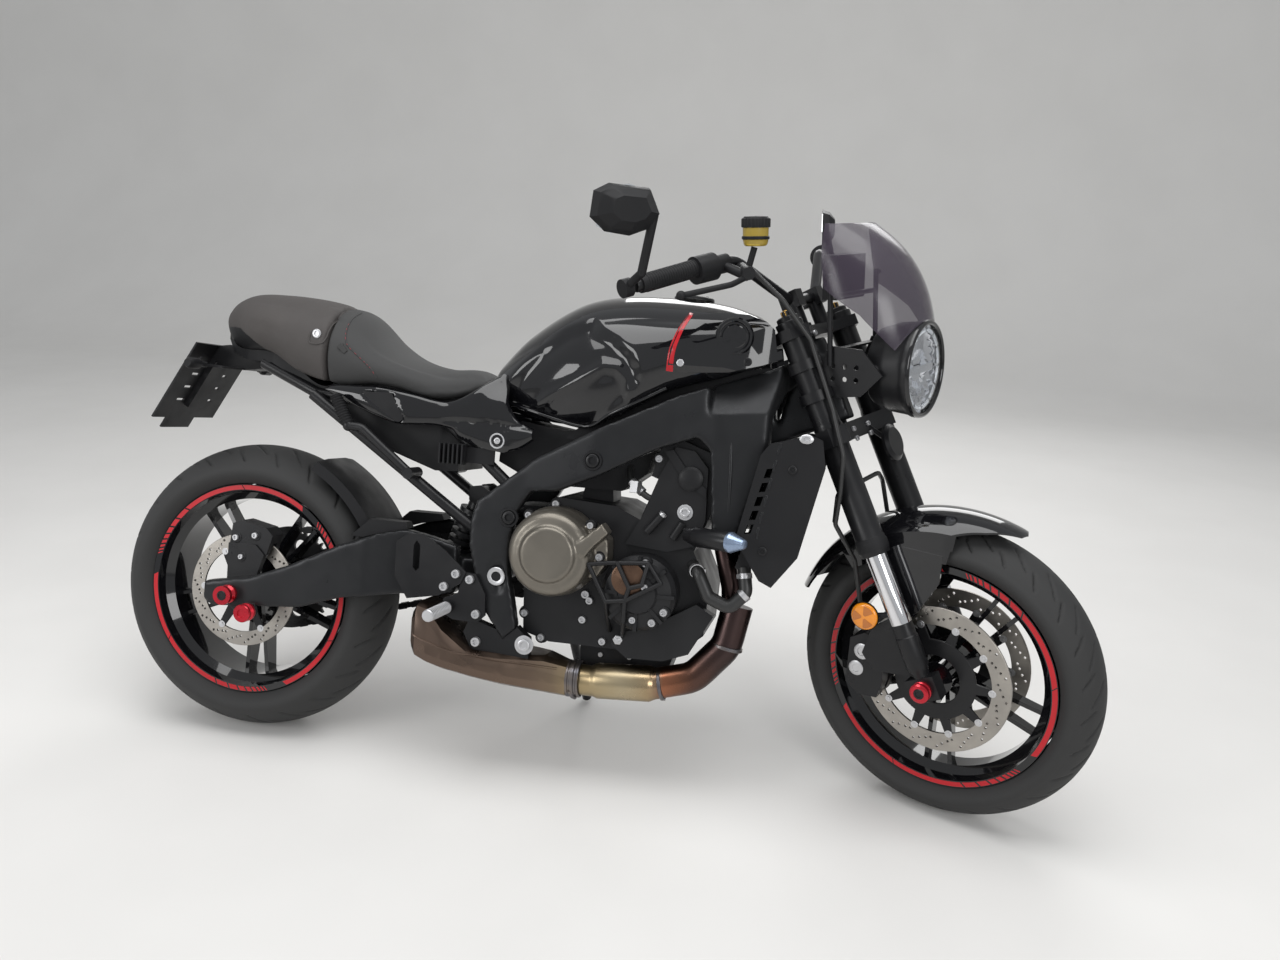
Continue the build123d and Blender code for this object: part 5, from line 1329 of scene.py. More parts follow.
@dataclass(frozen=True)
class Saddle:
    """The stuffed seat and the hump behind it, with their seams, piping, flap and screw."""

    seat_rows: DomedRows = DomedRows((
        (182, 776, 114, 842, 134, 918, 92, 949), (236, 779, 122, 815, 137, 884, 97, 927),
        (285, 784, 128, 805, 141, 846, 108, 878), (340, 780, 131, 796, 143, 822, 116, 842),
        (420, 763, 118, 782, 126, 803, 98, 824), (484, 772, 84, 792, 90, 810, 70, 827),
        (523, 796, 60, 802, 64, 808, 54, 817)))
    cowl_rows: DomedRows = DomedRows((
        (-102, 884, 30, 898, 36, 912, 27, 922), (-78, 852, 50, 894, 60, 932, 40, 945),
        (-36, 838, 72, 888, 90, 938, 60, 961), (36, 834, 92, 882, 114, 934, 78, 963),
        (104, 800, 106, 858, 128, 926, 88, 959), (181.6, 776, 114, 842, 134, 918, 92, 949)))
    seam: Line = ((216, 931), (214, 908), (219, 878), (231, 856), (268, 829), (290, 812), (303, 794))
    flap: Line = ((186, 930), (181, 905), (180, 886), (177, 862), (168, 856), (150, 857), (146, 864),
                  (146, 884))
    dark_wedge: Line = ((-110, 886), (-39, 882), (36, 831), (87, 797), (60, 780), (-110, 780))

    def cushion(self, name: str, finish: Finish, rows: DomedRows, node: str, cap: float,
                rounds: int) -> bpy.types.Object:
        """One stuffed form that stands for its solid.

        Args:
            name: the piece's name.
            finish: its cover.
            rows: its sections.
            node: the solid that it replaces.
            cap: how far the stuffing may push the cover out, in millimetres.
            rounds: how often its edges are softened.

        Returns:
            The object.
        """
        piece = Piece(name, Body.CHASSIS, finish, crease_angle=180, replaced=(node,))
        obj = piece.add(rows.mesh(ends=4.0, shrink=cap * 0.7)).build()
        puff(obj, 0.0045, 4.0, cap / 1000, rounds)
        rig.padded(obj, 0.85)
        return obj

    def wedge(self, cowl: bpy.types.Object) -> None:
        """Give the hump's tucked-in underside its dark panel.

        Args:
            cowl: the stuffed hump.
        """
        cowl.data.materials.append(MATTE_BLACK.material())
        back = STANCE.fixed().inverted()
        for polygon in cowl.data.polygons:
            spot = back @ polygon.center
            if within(spot.x, spot.z, list(self.dark_wedge)):
                polygon.material_index = 1

    def trims(self, seat: Skin, cowl: Skin) -> None:
        """Seams with their stitches, piping, flap, screws and tabs, left and right.

        Args:
            seat: the seat cushion's surface.
            cowl: the hump's surface.
        """
        stitches = Piece("seat_stitches", Body.CHASSIS, RED_THREAD)
        piping = Piece("seat_piping", Body.CHASSIS, SEAT_VINYL)
        cover = Piece("hump_cover_edge", Body.CHASSIS, COWL_CLOTH, bevel=0.0004)
        metal = Piece("hump_screws", Body.CHASSIS, BARE_STEEL)
        tab = Piece("seat_tabs", Body.CHASSIS, SEAT_VINYL, bevel=0.0008)
        for side in (-1, 1):
            line, out = seat.along(self.seam, side, 0.2, 4.0), Vector((0, side * 1.1, 0))
            piping.add(tube(line, 1.5, 8, 2))
            for a, b in zip(line[::2], line[1::2]):
                stitches.add(tube([a + out, a.lerp(b, 0.7) + out], 0.9, 6, 1))
            edge = cowl.along(self.flap, side, 0.6, 4.0)
            cover.add(tube(edge, 1.7, 8, 2))
            spot = cowl.side(162, 877, side, 0.0)
            if spot is not None:
                metal.add(screw(9.5, 0.45), across(spot.x, spot.y + side * 1.2, spot.z, side))
            pull = seat.side(221, 850, side, 0.0)
            if pull is not None:
                patch = prism([(-11, -5), (11, -6), (12, 4), (-9, 7)], -3, 4)
                tab.add(patch, across(pull.x, pull.y, pull.z, side) @ turned(-38))
        over = [cowl.top(186 - 4 * abs(k) / 10, 9.0 * k, 0.6) for k in range(-10, 11)]
        cover.add(tube([p for p in over if p is not None], 1.7, 8, 2))
        for piece in (stitches, piping, cover, metal, tab):
            piece.build()

    def build(self) -> None:
        """Stuff both forms and sew on their trims."""
        cowl = self.cushion("seat_hump", COWL_CLOTH, self.cowl_rows, "seat_cowl", 2.0, 1)
        seat = self.cushion("seat_cushion", SEAT_VINYL, self.seat_rows, "seat", 4.0, 3)
        self.wedge(cowl)
        self.trims(Skin(seat), Skin(cowl, seat))


@dataclass(frozen=True)
class Tank:
    """Gloss fuel tank with knee hollows, its lower lip, filler cap, and the side cowls' trims."""

    rows: DomedRows = DomedRows((
        (526, 768, 48, 786, 56, 806, 46, 818), (545, 752, 66, 790, 78, 828, 60, 848),
        (600, 740, 86, 800, 112, 866, 84, 908), (700, 728, 112, 812, 150, 916, 114, 975),
        (790, 742, 130, 835, 167, 936, 127, 998), (912, 808, 134, 868, 168, 942, 130, 1001),
        (1010, 840, 120, 885, 150, 938, 118, 991), (1080, 866, 98, 895, 124, 930, 98, 970)))
    hollow: Line = (
        (751, 946), (775, 928), (810, 911), (846, 884), (866, 852), (868, 820), (846, 780), (745, 690),
        (600, 690), (530, 740), (560, 800), (590, 836), (635, 885), (690, 926))
    ridge: Line = (
        (590, 745), (636, 757), (671, 782), (730, 816), (783, 848), (812, 846), (832, 826), (836, 800))
    lip: Line = ((552, 770), (576, 757), (640, 742), (743, 722), (800, 751), (860, 782), (909, 809))
    stripe: Line = ((944, 962), (931, 930), (919, 887), (915, 845))
    under: Line = ((700, 700), (760, 690), (900, 728), (1040, 768), (1120, 800), (1110, 868), (1000, 850),
                   (900, 815), (800, 765), (740, 735))
    ring_profile: Line = ((0, 5.2), (21, 4.8), (24, 2.6), (27, 2.6), (30, 5.4), (34, 5.4), (37, 1.0))

    def relief(self, x: float, y: float, z: float) -> float:
        """Depth of the knee hollow at a place, less the ridge under it.

        Args:
            x: place along the bike.
            y: place across it.
            z: height.

        Returns:
            How far the surface is pushed in.
        """
        depth = 0.0
        if within(x, z, list(self.hollow)):
            depth = 15.0 * ease(edge_gap(x, z, list(self.hollow)) / 34.0)
        near = edge_gap(x, z, list(self.ridge), closed=False)
        return depth - 7.0 * math.exp(-(near / 11.0) ** 2) * ease((x - 585) / 60)

    def shell(self) -> bpy.types.Object:
        """The painted tank."""
        piece = Piece("tank_shell", Body.CHASSIS, GLOSS_BLACK, crease_angle=75, replaced=("fuel_tank",))
        return piece.add(self.rows.mesh(sides=40, crown=22, step=4.0, ends=14.0, relief=self.relief)).build()

    def cap(self, skin: Skin) -> None:
        """Round filler cap with its ring of screws.

        Args:
            skin: the tank's surface.
        """
        spot = skin.top(930, 0)
        tilt = pointing((930, 0, spot.z - 1.0), (0.02, 0, 1))
        rim = Piece("filler_ring", Body.CHASSIS, BLACK_STEEL)
        rim.add(lathe([(0, 5), (24, 5), (26, 4), (26, 6.5), (39, 6.5), (41, 5), (42, 0)], 64), tilt).build()
        lid = Piece("filler_lid", Body.CHASSIS, GRAPHITE, bevel=0.0005)
        lid.add(lathe([(0, 7.5), (20, 7.5), (22, 6.8), (23, 4.5)], 48), tilt)
        lid.add(prism([(-14, -6), (14, -6), (14, 6), (-14, 6)], 7, 9.2), tilt)
        for k in range(6):
            turn = turned(60 * k)
            lid.add(screw(3.2, 0.8), tilt @ turn @ moved(32.5, 0, 6.2))
        lid.build()

    def trims(self, shell: bpy.types.Object) -> None:
        """Lip, stripe, round panel and bolts on each side.

        Args:
            shell: the painted tank.
        """
        skin, cowl = Skin(shell), Skin(frame["nodes"]["tank_cowls"], shell)
        lip = Piece("tank_lip", Body.CHASSIS, GLOSS_BLACK)
        stripe = Piece("tank_stripe", Body.CHASSIS, RED_FILM)
        panel = Piece("tank_round_panels", Body.CHASSIS, GLOSS_BLACK, crease_angle=30)
        bolts = Piece("tank_bolts", Body.CHASSIS, BLACK_STEEL)
        light = Piece("tank_light_bolts", Body.CHASSIS, BARE_STEEL)
        for side in (-1, 1):
            low = [skin.side(x, z + 9, side, 0.0) for x, z in self.lip]
            edge = [Vector((p.x, p.y - side * 2.0, p.z - 5)) for p in low if p is not None]
            lip.add(tube(edge, 4.2, 10, 6))
            stripe.add(cowl.ribbon(self.stripe, 13.0, side, 0.5))
            spot = cowl.side(1035, 918, side)
            if spot is not None:
                at = across(1035, spot.y - side * 2.5, 918, side)
                panel.add(lathe(self.ring_profile, 56), at)
                for k in range(3):
                    turn = turned(90 + 120 * k)
                    panel.add(prism([(9, -2.6), (22, -2.6), (22, 2.6), (9, 2.6)], 4.5, 6.6), at @ turn)
            spot = cowl.side(1064, 872, side)
            bolts.add(screw(8.0, 0.5), across(1064, spot.y, 872, side))
            spot = cowl.side(936, 862, side)
            if spot is not None:
                light.add(screw(7.0, 0.4), across(936, spot.y, 862, side))
        for piece in (lip, stripe, panel, bolts, light):
            piece.build()

    def underside(self) -> None:
        """Matte trim that closes the view between the tank's lower edge and the frame."""
        piece = Piece("tank_under_trim", Body.CHASSIS, MATTE_BLACK)
        for side in (-1, 1):
            low, high = sorted((side * 84, side * 88))
            piece.add(prism(self.under, low, high), SIDE_VIEW)
        piece.build()

    def build(self) -> None:
        """Shell first, then what sits on it."""
        self.underside()
        shell = self.shell()
        self.cap(Skin(shell))
        self.trims(shell)


@dataclass(frozen=True)
class SidePanels:
    """Gloss panels under the seat, with their matte inserts, ridges and wings up to the tank."""

    top: Line = (
        (186, 768), (200, 775), (262, 776), (308, 777), (375, 768), (430, 757), (462, 757), (500, 775),
        (544, 808), (566, 820), (576, 796), (584, 760), (606, 728), (640, 712))
    bottom: Line = (
        (186, 760), (210, 750), (262, 730), (308, 714), (352, 703), (386, 704), (430, 706), (468, 700),
        (486, 682), (530, 668), (577, 661), (600, 666), (618, 673), (642, 690))
    spread: Line = ((180, 121), (260, 132), (360, 136), (460, 131), (560, 128), (650, 132))
    insert: Line = ((268, 766), (338, 768), (369, 716), (364, 706), (352, 706), (316, 728), (286, 748))
    strips: int = 18
    thick: float = 9.0
    tuck: float = 4.0
    inset: float = 6.0
    inlay_from: float = 270.0
    inlay_long: float = 96.0
    inlay_columns: int = 14
    inlay_strips: int = 6
    inlay_gap: float = 1.5
    inlay_proud: float = 5.2
    ring_at: tuple[float, float] = (568.0, 684.0)
    ring: Line = ((12, 0), (15.5, 0), (16.5, 1.5), (15.5, 3), (13, 3), (12, 1.5), (12, 0))

    def outer(self, x: float) -> float:
        """How far out the panel stands at x.

        Args:
            x: place along the bike.

        Returns:
            Distance from the middle plane.
        """
        for (ax, ay), (bx, by) in zip(self.spread, self.spread[1:]):
            if x <= bx:
                return ay + (by - ay) * (x - ax) / (bx - ax)
        return self.spread[-1][1]

    def face(self, x: float, z: float, low: float, high: float) -> float:
        """How far out the panel stands at (x, z), crowned between its edges and hollow at the insert.

        Args:
            x: place along the bike.
            z: height.
            low: height of the panel's lower edge there.
            high: height of its upper edge there.

        Returns:
            Distance from the middle plane.
        """
        share = (z - low) / max(1.0, high - low)
        crown = 7.0 * (1 - (2 * share - 0.9) ** 2)
        crown -= 5.0 * ease((x - 440) / 40) * (1 - ease(abs(z - 716) / 9))
        sunk = 3.0 * ease(edge_gap(x, z, list(self.insert)) / 2.5) if within(x, z, list(self.insert)) else 0.0
        wing = 22.0 * ease((x - 500) / 60) * ease((z - 752) / 60)
        return self.outer(x) - self.inset + crown - sunk - wing

    def sheet(self, side: int) -> Shape:
        """One side's panel as a closed sheet.

        Args:
            side: -1 for the right, 1 for the left.

        Returns:
            Vertices and faces.
        """
        high, low = (smooth_path([(x, 0, z) for x, z in edge], 8) for edge in (self.top, self.bottom))
        verts, faces = [], []
        for depth in (0.0, self.thick):
            for a, b in zip(low, high):
                for row in range(self.strips + 1):
                    spot = a.lerp(b, row / self.strips)
                    tuck = self.tuck if row in (0, self.strips) and depth == 0 else 0.0
                    y = self.face(spot.x, spot.z, a.z, b.z) - depth
                    verts.append((spot.x, side * (y - tuck), spot.z))
        step, cols = self.strips + 1, len(high)
        back = cols * step
        for col in range(cols - 1):
            for n in range(col * step, col * step + self.strips):
                faces.append((n, n + step, n + step + 1, n + 1))
                faces.append((back + n, back + n + 1, back + n + step + 1, back + n + step))
            for n in (col * step, col * step + self.strips):
                faces.append((n, n + step, back + n + step, back + n))
        for col in (0, cols - 1):
            faces += [(n, n + 1, back + n + 1, back + n) for n in range(col * step, col * step + self.strips)]
        return verts, faces

    def inlay(self, side: int) -> Shape:
        """The insert that lies in the panel's hollow.

        Args:
            side: -1 for the right, 1 for the left.

        Returns:
            Vertices and faces.
        """
        outline, verts, faces = list(self.insert), [], []
        count, columns = self.inlay_strips, 0
        for i in range(self.inlay_columns + 1):
            x = self.inlay_from + self.inlay_long * i / self.inlay_columns
            inside = [z for z in range(700, 772) if within(x, z, outline)]
            if inside:
                low, high = min(inside) + self.inlay_gap, max(inside) - self.inlay_gap
                out = self.outer(x) - self.inset + self.inlay_proud
                verts += [(x, side * out, low + (high - low) * k / count) for k in range(count + 1)]
                columns += 1
        for n in range(0, (columns - 1) * (count + 1), count + 1):
            faces += [(n + k, n + count + 1 + k, n + count + 2 + k, n + 1 + k) for k in range(count)]
        return verts, faces

    def build(self) -> None:
        """Both panels."""
        piece = Piece("side_panels", Body.CHASSIS, GLOSS_BLACK, crease_angle=50, replaced=("side_covers",))
        insert = Piece("side_panel_inserts", Body.CHASSIS, MATTE_BLACK)
        rings = Piece("side_panel_rings", Body.CHASSIS, BARE_STEEL)
        for side in (-1, 1):
            piece.add(self.sheet(side))
            insert.add(self.inlay(side))
            x, z = self.ring_at
            at = across(x, side * (self.outer(x) - 2.5), z, side)
            rings.add(lathe(self.ring, 32), at)
            rings.add(screw(6.5, 0.6), at)
        for made in (piece, insert, rings):
            made.build()


# Front end


@dataclass(frozen=True)
class Fork:
    """Chrome sliders, dust seals, gold adjusters, yoke bolts, reflectors and caliper caps."""

    offset: float = 28.9
    half: float = 105.0
    slider: Line = ((20.7, 132), (20.9, 134), (20.9, 281), (20.7, 283))
    seal: Line = ((21.2, 276), (24, 277), (25.5, 281), (30.8, 282), (31.2, 286), (31.2, 296), (29.6, 300),
                  (29.0, 306), (28.3, 307))
    adjuster: Line = ((0, 772), (4.6, 772), (5.2, 771), (9.3, 770.5), (9.6, 769), (9.6, 757))
    cap: Line = ((9.8, 760), (18, 760), (19.6, 758.6), (21.4, 758), (21.4, 749), (26.6, 748.5), (26.9, 742))
    yoke_screws: tuple[Triple, ...] = ((1197, 32, 952), (1289, 33, 769), (1297, 33, 751))
    reflector_at: Triple = (1372.0, 124.0, 424.0)
    reflector: Line = ((0, 7.5), (12, 7.4), (22, 6.6), (25.5, 5), (27, 2.5), (27, 0))
    sector: Line = ((4, 7.9), (12, 7.9), (22.6, 7.1), (22.6, 6.4), (4, 7.2), (4, 7.9))
    backing: Line = ((27.2, 0), (28.6, 1.5), (28.6, -2.5), (10, -3.5), (7, -10), (0, -10))
    pistons: tuple[Triple, ...] = ((1357, 336, 16.5), (1346, 298, 15.5))

    def leg(self, side: int, height: float = 0.0) -> Matrix:
        """A leg's own frame at a height above the axle: Z runs up the leg."""
        return STANCE.fork() @ moved(self.offset, side * self.half, height)

    def caliper(self, pale: Piece, backing: Piece, side: int) -> None:
        """Round piston covers on one side's caliper, flush with its outermost face.

        Args:
            pale: what the covers are added to.
            backing: what their dark bosses are added to.
            side: -1 for the right, 1 for the left.
        """
        skin = Skin(frame["nodes"]["front_calipers"], body=Body.STEERING)
        for x, z, radius in self.pistons:
            round_it = [skin.side(x + a, z + b, side) for a in (-12, 0, 12) for b in (-12, 0, 12)]
            out = max(abs(spot.y) for spot in round_it if spot is not None)
            at = across(x, side * out, z, side)
            rows = [(0, 1.0), (radius * 0.5, 1.0), (radius * 0.55, 2.4), (radius * 0.86, 2.4), (radius, 1.2),
                    (radius, -1)]
            pale.add(lathe(rows, 40), at)
            backing.add(lathe([(radius + 2.5, -14), (radius + 2.5, -1.5), (radius + 1, 0.2), (0, 0.2)], 40),
                        at)

    def build(self) -> None:
        """Dress both legs."""
        chrome = Piece("fork_sliders", Body.STEERING, CHROME)
        seals = Piece("fork_seals", Body.STEERING, GRIP_RUBBER)
        gold = Piece("fork_adjusters", Body.STEERING, GOLD, bevel=0.0004)
        caps = Piece("fork_caps", Body.STEERING, BLACK_STEEL, bevel=0.0006)
        bolts = Piece("yoke_bolts", Body.STEERING, BARE_STEEL)
        amber = Piece("reflectors", Body.STEERING, AMBER)
        sector = Piece("reflector_sectors", Body.STEERING, DEEP_AMBER)
        backing = Piece("reflector_backs", Body.STEERING, MATTE_BLACK)
        pale = Piece("caliper_caps", Body.STEERING, BARE_STEEL)
        for side in (-1, 1):
            leg = self.leg(side)
            for piece, profile, steps in ((chrome, self.slider, 48), (seals, self.seal, 48),
                                          (gold, self.adjuster, 6), (caps, self.cap, 36)):
                piece.add(lathe(profile, steps), leg)
            for x, y, z in self.yoke_screws:
                bolts.add(screw(5.5), pointing((x, side * y, z), (0.91, 0, 0.41)))
            x, y, z = self.reflector_at
            low = across(x, side * y, z, side)
            amber.add(lathe(self.reflector, 48), low)
            for k in range(3):
                sector.add(lathe(self.sector, 12, 60.0), low @ turned(120 * k + 30))
            backing.add(lathe(self.backing, 40), low)
            stay = [(1372, side * 118, 424), (1400, side * 112, 428), (1432, side * 107, 436)]
            backing.add(tube(stay, 5.5, 12, 4))
            self.caliper(pale, backing, side)
        for piece in (chrome, seals, gold, caps, bolts, amber, sector, backing, pale):
            piece.build()


@dataclass(frozen=True)
class Headlamp:
    """Round lamp: chrome reflector in facets, ring, bar and a domed glass."""

    centre: Triple = (1318.0, 0.0, 893.0)
    bowl: Line = ((82.8, 92.0), (76, 89.0), (66, 84), (52, 81.5), (38, 80.0), (24, 79.6))
    facets: int = 20
    facet_dip: float = 4.2
    bar: Line = ((-60, -7), (60, -7), (66, 0), (60, 7), (-60, 7), (-66, 0))
    bulb: Line = ((0, 88), (9, 87), (15, 83), (19, 80))
    rim: Line = ((83.4, 99.5), (84.6, 101.4), (87.4, 102.4), (90.6, 101.4), (92.6, 99.4), (93.4, 96))
    light: Line = ((69.5, 92.4), (71, 94.6), (76.5, 94.6), (78, 92.0), (69.5, 92.4))

    def place(self) -> Matrix:
        """The lamp's own frame: Z points ahead."""
        return pointing(self.centre, (1, 0, 0))

    @staticmethod
    def dome(radius: float, base: float, rise: float, steps: Iterable[int]) -> list[tuple[float, float]]:
        """Points (radius, height) down a quarter of an ellipse.

        Args:
            radius: its foot's radius.
            base: height of its foot.
            rise: its height over the foot.
            steps: which of its twenty steps from the top, of nine degrees each, are drawn.

        Returns:
            The points.
        """
        turns = [step * math.pi / 20 for step in steps]
        return [(radius * math.sin(turn), base + rise * math.cos(turn)) for turn in turns]

    def build(self) -> None:
        """Reflector, ring and glass."""
        glass = Piece("lamp_glass", Body.STEERING, LENS, replaced=("headlight_lens",))
        outer, inner = self.dome(83.2, 94.5, 12, range(1, 11)), self.dome(80.6, 92.5, 11.6, range(9, 0, -1))
        rows = [(0.0, 106.5)] + outer + [(83.2, 92.5)] + inner + [(0.0, 104.1)]
        glass.add(lathe(rows, 72), self.place()).build()
        bowl = Piece("lamp_reflector", Body.STEERING, CHROME, crease_angle=12)
        verts, faces, size = [], [], self.facets * 2
        for ring, (r, h) in enumerate(self.bowl):
            for k in range(size):
                turn = math.pi * k / self.facets
                rise = self.facet_dip if (k + ring) % 2 and 0 < ring < len(self.bowl) - 1 else 0.0
                verts.append((r * math.cos(turn), r * math.sin(turn), h + rise))
        for ring in range(0, (len(self.bowl) - 1) * size, size):
            for k in range(size):
                a, b = ring + k, ring + (k + 1) % size
                faces.append((a, b, b + size, a + size))
        faces.append(tuple(range(len(verts) - size, len(verts))))
        bowl.add((verts, faces), self.place())
        bowl.add(prism(self.bar, 82, 90), self.place())
        for side in (-1, 1):
            bowl.add(lathe(self.bulb, 24), self.place() @ moved(side * 34, 0, 0))
        bowl.build()
        ring = Piece("lamp_ring", Body.STEERING, GLOSS_BLACK)
        ring.add(lathe(self.rim, 96), self.place()).build()
        halo = Piece("lamp_halo", Body.STEERING, WHITE_LENS)
        for k in range(12):
            halo.add(lathe(self.light, 10, 26.0), self.place() @ turned(30 * k + 2))
        halo.build()


@dataclass(frozen=True)
class Cockpit:
    """Bars' grips and ends, reservoir and mirror glass."""

    bar_end: Triple = (1024.0, 378.0, 1061.0)
    bar_inner: Triple = (1069.0, 250.0, 1087.0)
    grip_foot: Line = ((11.2, 0.5), (18.4, 0.5), (19, 1.5), (19, 4), (17.5, 5.5))
    grip_rib: Line = ((16.3, 0), (17.3, 0.8), (17.3, 3.2), (16.3, 4.0))
    grip_tip: Line = ((16.5, -5), (16.0, -1), (11.2, -0.5))
    bar_cap: Line = ((0, -6), (9, -6), (12, -4), (12.8, 0.2), (12.8, 8), (11.8, 11), (0, 12))
    cup: Triple = (1152.0, -190.0, 1124.0)
    mirror_face: Line = (
        (-62, 10), (-40, 34), (-6, 44), (40, 36), (66, 12), (58, -30), (30, -42), (-44, -34))

    def grips(self) -> None:
        """Ribbed rubber over each bar end."""
        piece = Piece("grip_sleeves", Body.STEERING, GRIP_RUBBER, replaced=("grips",))
        ends = Piece("bar_ends", Body.STEERING, BLACK_STEEL, bevel=0.0006)
        for side in (-1, 1):
            end = Vector((self.bar_end[0], side * self.bar_end[1], self.bar_end[2]))
            inner = Vector((self.bar_inner[0], side * self.bar_inner[1], self.bar_inner[2]))
            rows = ribbed(self.grip_foot, self.grip_rib, 5.4, self.grip_tip, (end - inner).length, 8, 12)
            piece.add(lathe(rows, 40), pointing(inner, end - inner))
            ends.add(lathe(self.bar_cap, 36), pointing(end - (end - inner).normalized(), end - inner))
        piece.build()
        ends.build()

    def reservoir(self) -> None:
        """Amber cup with its knurled cap."""
        at = Matrix.Translation(self.cup)
        cup = Piece("fluid_cup", Body.STEERING, FLUID_CUP, replaced=("fluid_reservoir",))
        cup.add(lathe([(0, 0), (19, 0), (21, 1.5), (22.6, 5), (23.8, 12), (24, 33.5), (0, 33.5)], 56),
                at).build()
        cap = Piece("fluid_cap", Body.STEERING, MATTE_BLACK, bevel=0.0004)
        verts, faces = [], []
        rows = [(24.6, 33.2, 0), (26.8, 34.2, 1), (27, 48, 1), (25.6, 50, 0), (23.5, 50.5, 0), (22, 53, 0),
                (0, 54, 0)]
        steps = 96
        for k in range(steps):
            turn = 2 * math.pi * k / steps
            for r, h, knurl in rows:
                r -= 1.3 if knurl and k % 4 in (0, 1) else 0.0
                verts.append((r * math.cos(turn), r * math.sin(turn), h))
        for k in range(steps):
            a, b = k * len(rows), (k + 1) % steps * len(rows)
            faces += [(a + i, b + i, b + i + 1, a + i + 1) for i in range(len(rows) - 1)]
        cap.add((verts, faces), at)
        cap.add(lathe([(24.6, 12), (25.6, 13), (25.6, 17), (24.6, 18)], 56), at).build()

    def mirror_glass(self) -> None:
        """Silvered glass in each shell's open side."""
        piece = Piece("mirror_glass", Body.STEERING, MIRROR_GLASS)
        for side, centre in ((-1, (1062, -466, 1192)), (1, (962, 452, 1147))):
            along, out = Vector((-0.46, side * 0.888, 0)), Vector((0.888, side * 0.46, 0))
            up = out.cross(along)
            flat = Matrix(((along.x, up.x, out.x, centre[0]), (along.y, up.y, out.y, centre[1]),
                           (along.z, up.z, out.z, centre[2]), (0, 0, 0, 1)))
            turn = 1 if up.z > 0 else -1
            face = [(0.93 * u, 0.93 * v * turn) for u, v in self.mirror_face]
            if side > 0:
                face = [(u, -v) for u, v in face]
            piece.add(prism(face, -1.2, 0.4), flat)
        piece.build()

    def build(self) -> None:
        """Everything on the bars."""
        self.grips()
        self.reservoir()
        self.mirror_glass()


# Engine, frame and exhaust


@dataclass(frozen=True)
class EngineTrim:
    """Screws, guard bars, window and fittings on the engine's right side."""

    silver: Heads = (
        (696, -112, 566, 9), (649, -143, 542, 8), (783, -168, 535, 8), (805, -168, 475, 9),
        (770, -112, 389, 10), (779, -112, 377, 9), (767, -112, 337, 9), (645, -112, 338, 9),
        (683, -112, 291, 9), (899, -176, 473, 9), (902, -184, 427, 8), (941, -175, 381, 9),
        (919, -173, 358, 9), (881, -176, 360, 8), (811, -112, 297, 9), (799, -62, 258, 6), (860, -62, 259, 6),
        (900, -112, 674, 9))
    bars: tuple[tuple[Triple, ...], ...] = (
        ((789, -189, 462), (826, -188, 468), (906, -186, 475), (933, -186, 438), (866, -192, 399),
         (828, -190, 393), (789, -189, 462)),
        ((828, -190, 393), (826, -150, 352), (825, -116, 322)),
        ((866, -192, 399), (864, -182, 356), (857, -142, 320)),
        ((846, -189, 470), (873, -194, 424), (866, -192, 399)),
        ((906, -186, 475), (897, -193, 432), (873, -194, 424)))

    big_caps: Heads = ((961, -124.2, 573, 10.5), (658, -146, 279, 13))
    hex_cap: Line = ((0, 6), (4.5, 6), (5, 4.5), (9, 4.5), (10.5, 3), (10.5, 0))
    hose: tuple[Triple, ...] = (
        (912, -113, 588), (880, -115, 598), (850, -106, 621), (838, -84, 640), (836, -64, 652))

    def guard(self) -> None:
        """Bars over the round cover."""
        piece = Piece("cover_guard_bars", Body.CHASSIS, ENGINE_BLACK)
        for line in self.bars:
            for a, b in zip(line, line[1:]):
                piece.add(tube([a, b], 4.6, 10, 1))
            for spot in line:
                piece.add(lathe([(0, -4.6), (3.2, -3.4), (4.7, 0), (3.2, 3.4), (0, 4.6)], 12),
                          Matrix.Translation(spot))
        piece.build()
        window = Piece("cover_window", Body.CHASSIS, COPPER_BROWN)
        window.add(lathe([(0, 2.2), (14, 2.2), (16, 1.2), (30, 1.2), (33, 0.2)], 48),
                   across(868, -184.2, 440)).build()

    def fittings(self) -> None:
        """Big cap screws, pins, sensor and its hose."""
        caps = Piece("engine_caps", Body.CHASSIS, BARE_STEEL, bevel=0.0004)
        for x, y, z, radius in self.big_caps:
            at = across(x, y, z)
            caps.add(lathe([(radius * 1.5, 0), (radius * 1.5, 1.8), (radius, 2.2)], 40), at)
            caps.add(screw(radius, 0.5), at @ moved(0, 0, 2))
        caps.add(lathe(self.hex_cap, 6), across(848, -140, 310)).build()
        pins = Piece("engine_pins", Body.CHASSIS, ENGINE_BLACK)
        for start, end in (((889, -132, 529), (917, -132, 564)), ((958, -126, 552), (940, -126, 520))):
            pins.add(tube([start, end], 8.5, 16, 1))
        pins.build()
        tip = Piece("engine_pin_tip", Body.CHASSIS, BARE_STEEL)
        tip.add(screw(8, 0.8), pointing((917, -133, 564), (28, -2, 35))).build()
        sensor = Piece("breather_sensor", Body.CHASSIS, BARE_STEEL, bevel=0.0006)
        sensor.add(tube([(872, -113, 604), (846, -104, 624)], 9.5, 20, 1))
        sensor.add(prism([(-9, -12), (9, -12), (9, 12), (-9, 12)], 0, 16),
                   pointing((862, -116, 614), (-0.4, -0.9, 0.1))).build()
        hose = Piece("breather_hose", Body.CHASSIS, HOSE_RUBBER)
        hose.add(tube(self.hose, 6.5, 14, 8)).build()

    def build(self) -> None:
        """Right side as photographed."""
        screws("engine_screws_right", Body.CHASSIS, BARE_STEEL,
               [(x, y, z, r * 0.86) for x, y, z, r in self.silver])
        bosses = Piece("engine_bosses", Body.CHASSIS, ENGINE_BLACK)
        for x, y, z, radius in self.silver:
            rows = [(radius + 4.5, -9), (radius + 3.2, -0.6), (radius + 2.4, 0.2), (0, 0.2)]
            bosses.add(lathe(rows, 28), across(x, y, z))
        bosses.build()
        self.guard()
        self.fittings()


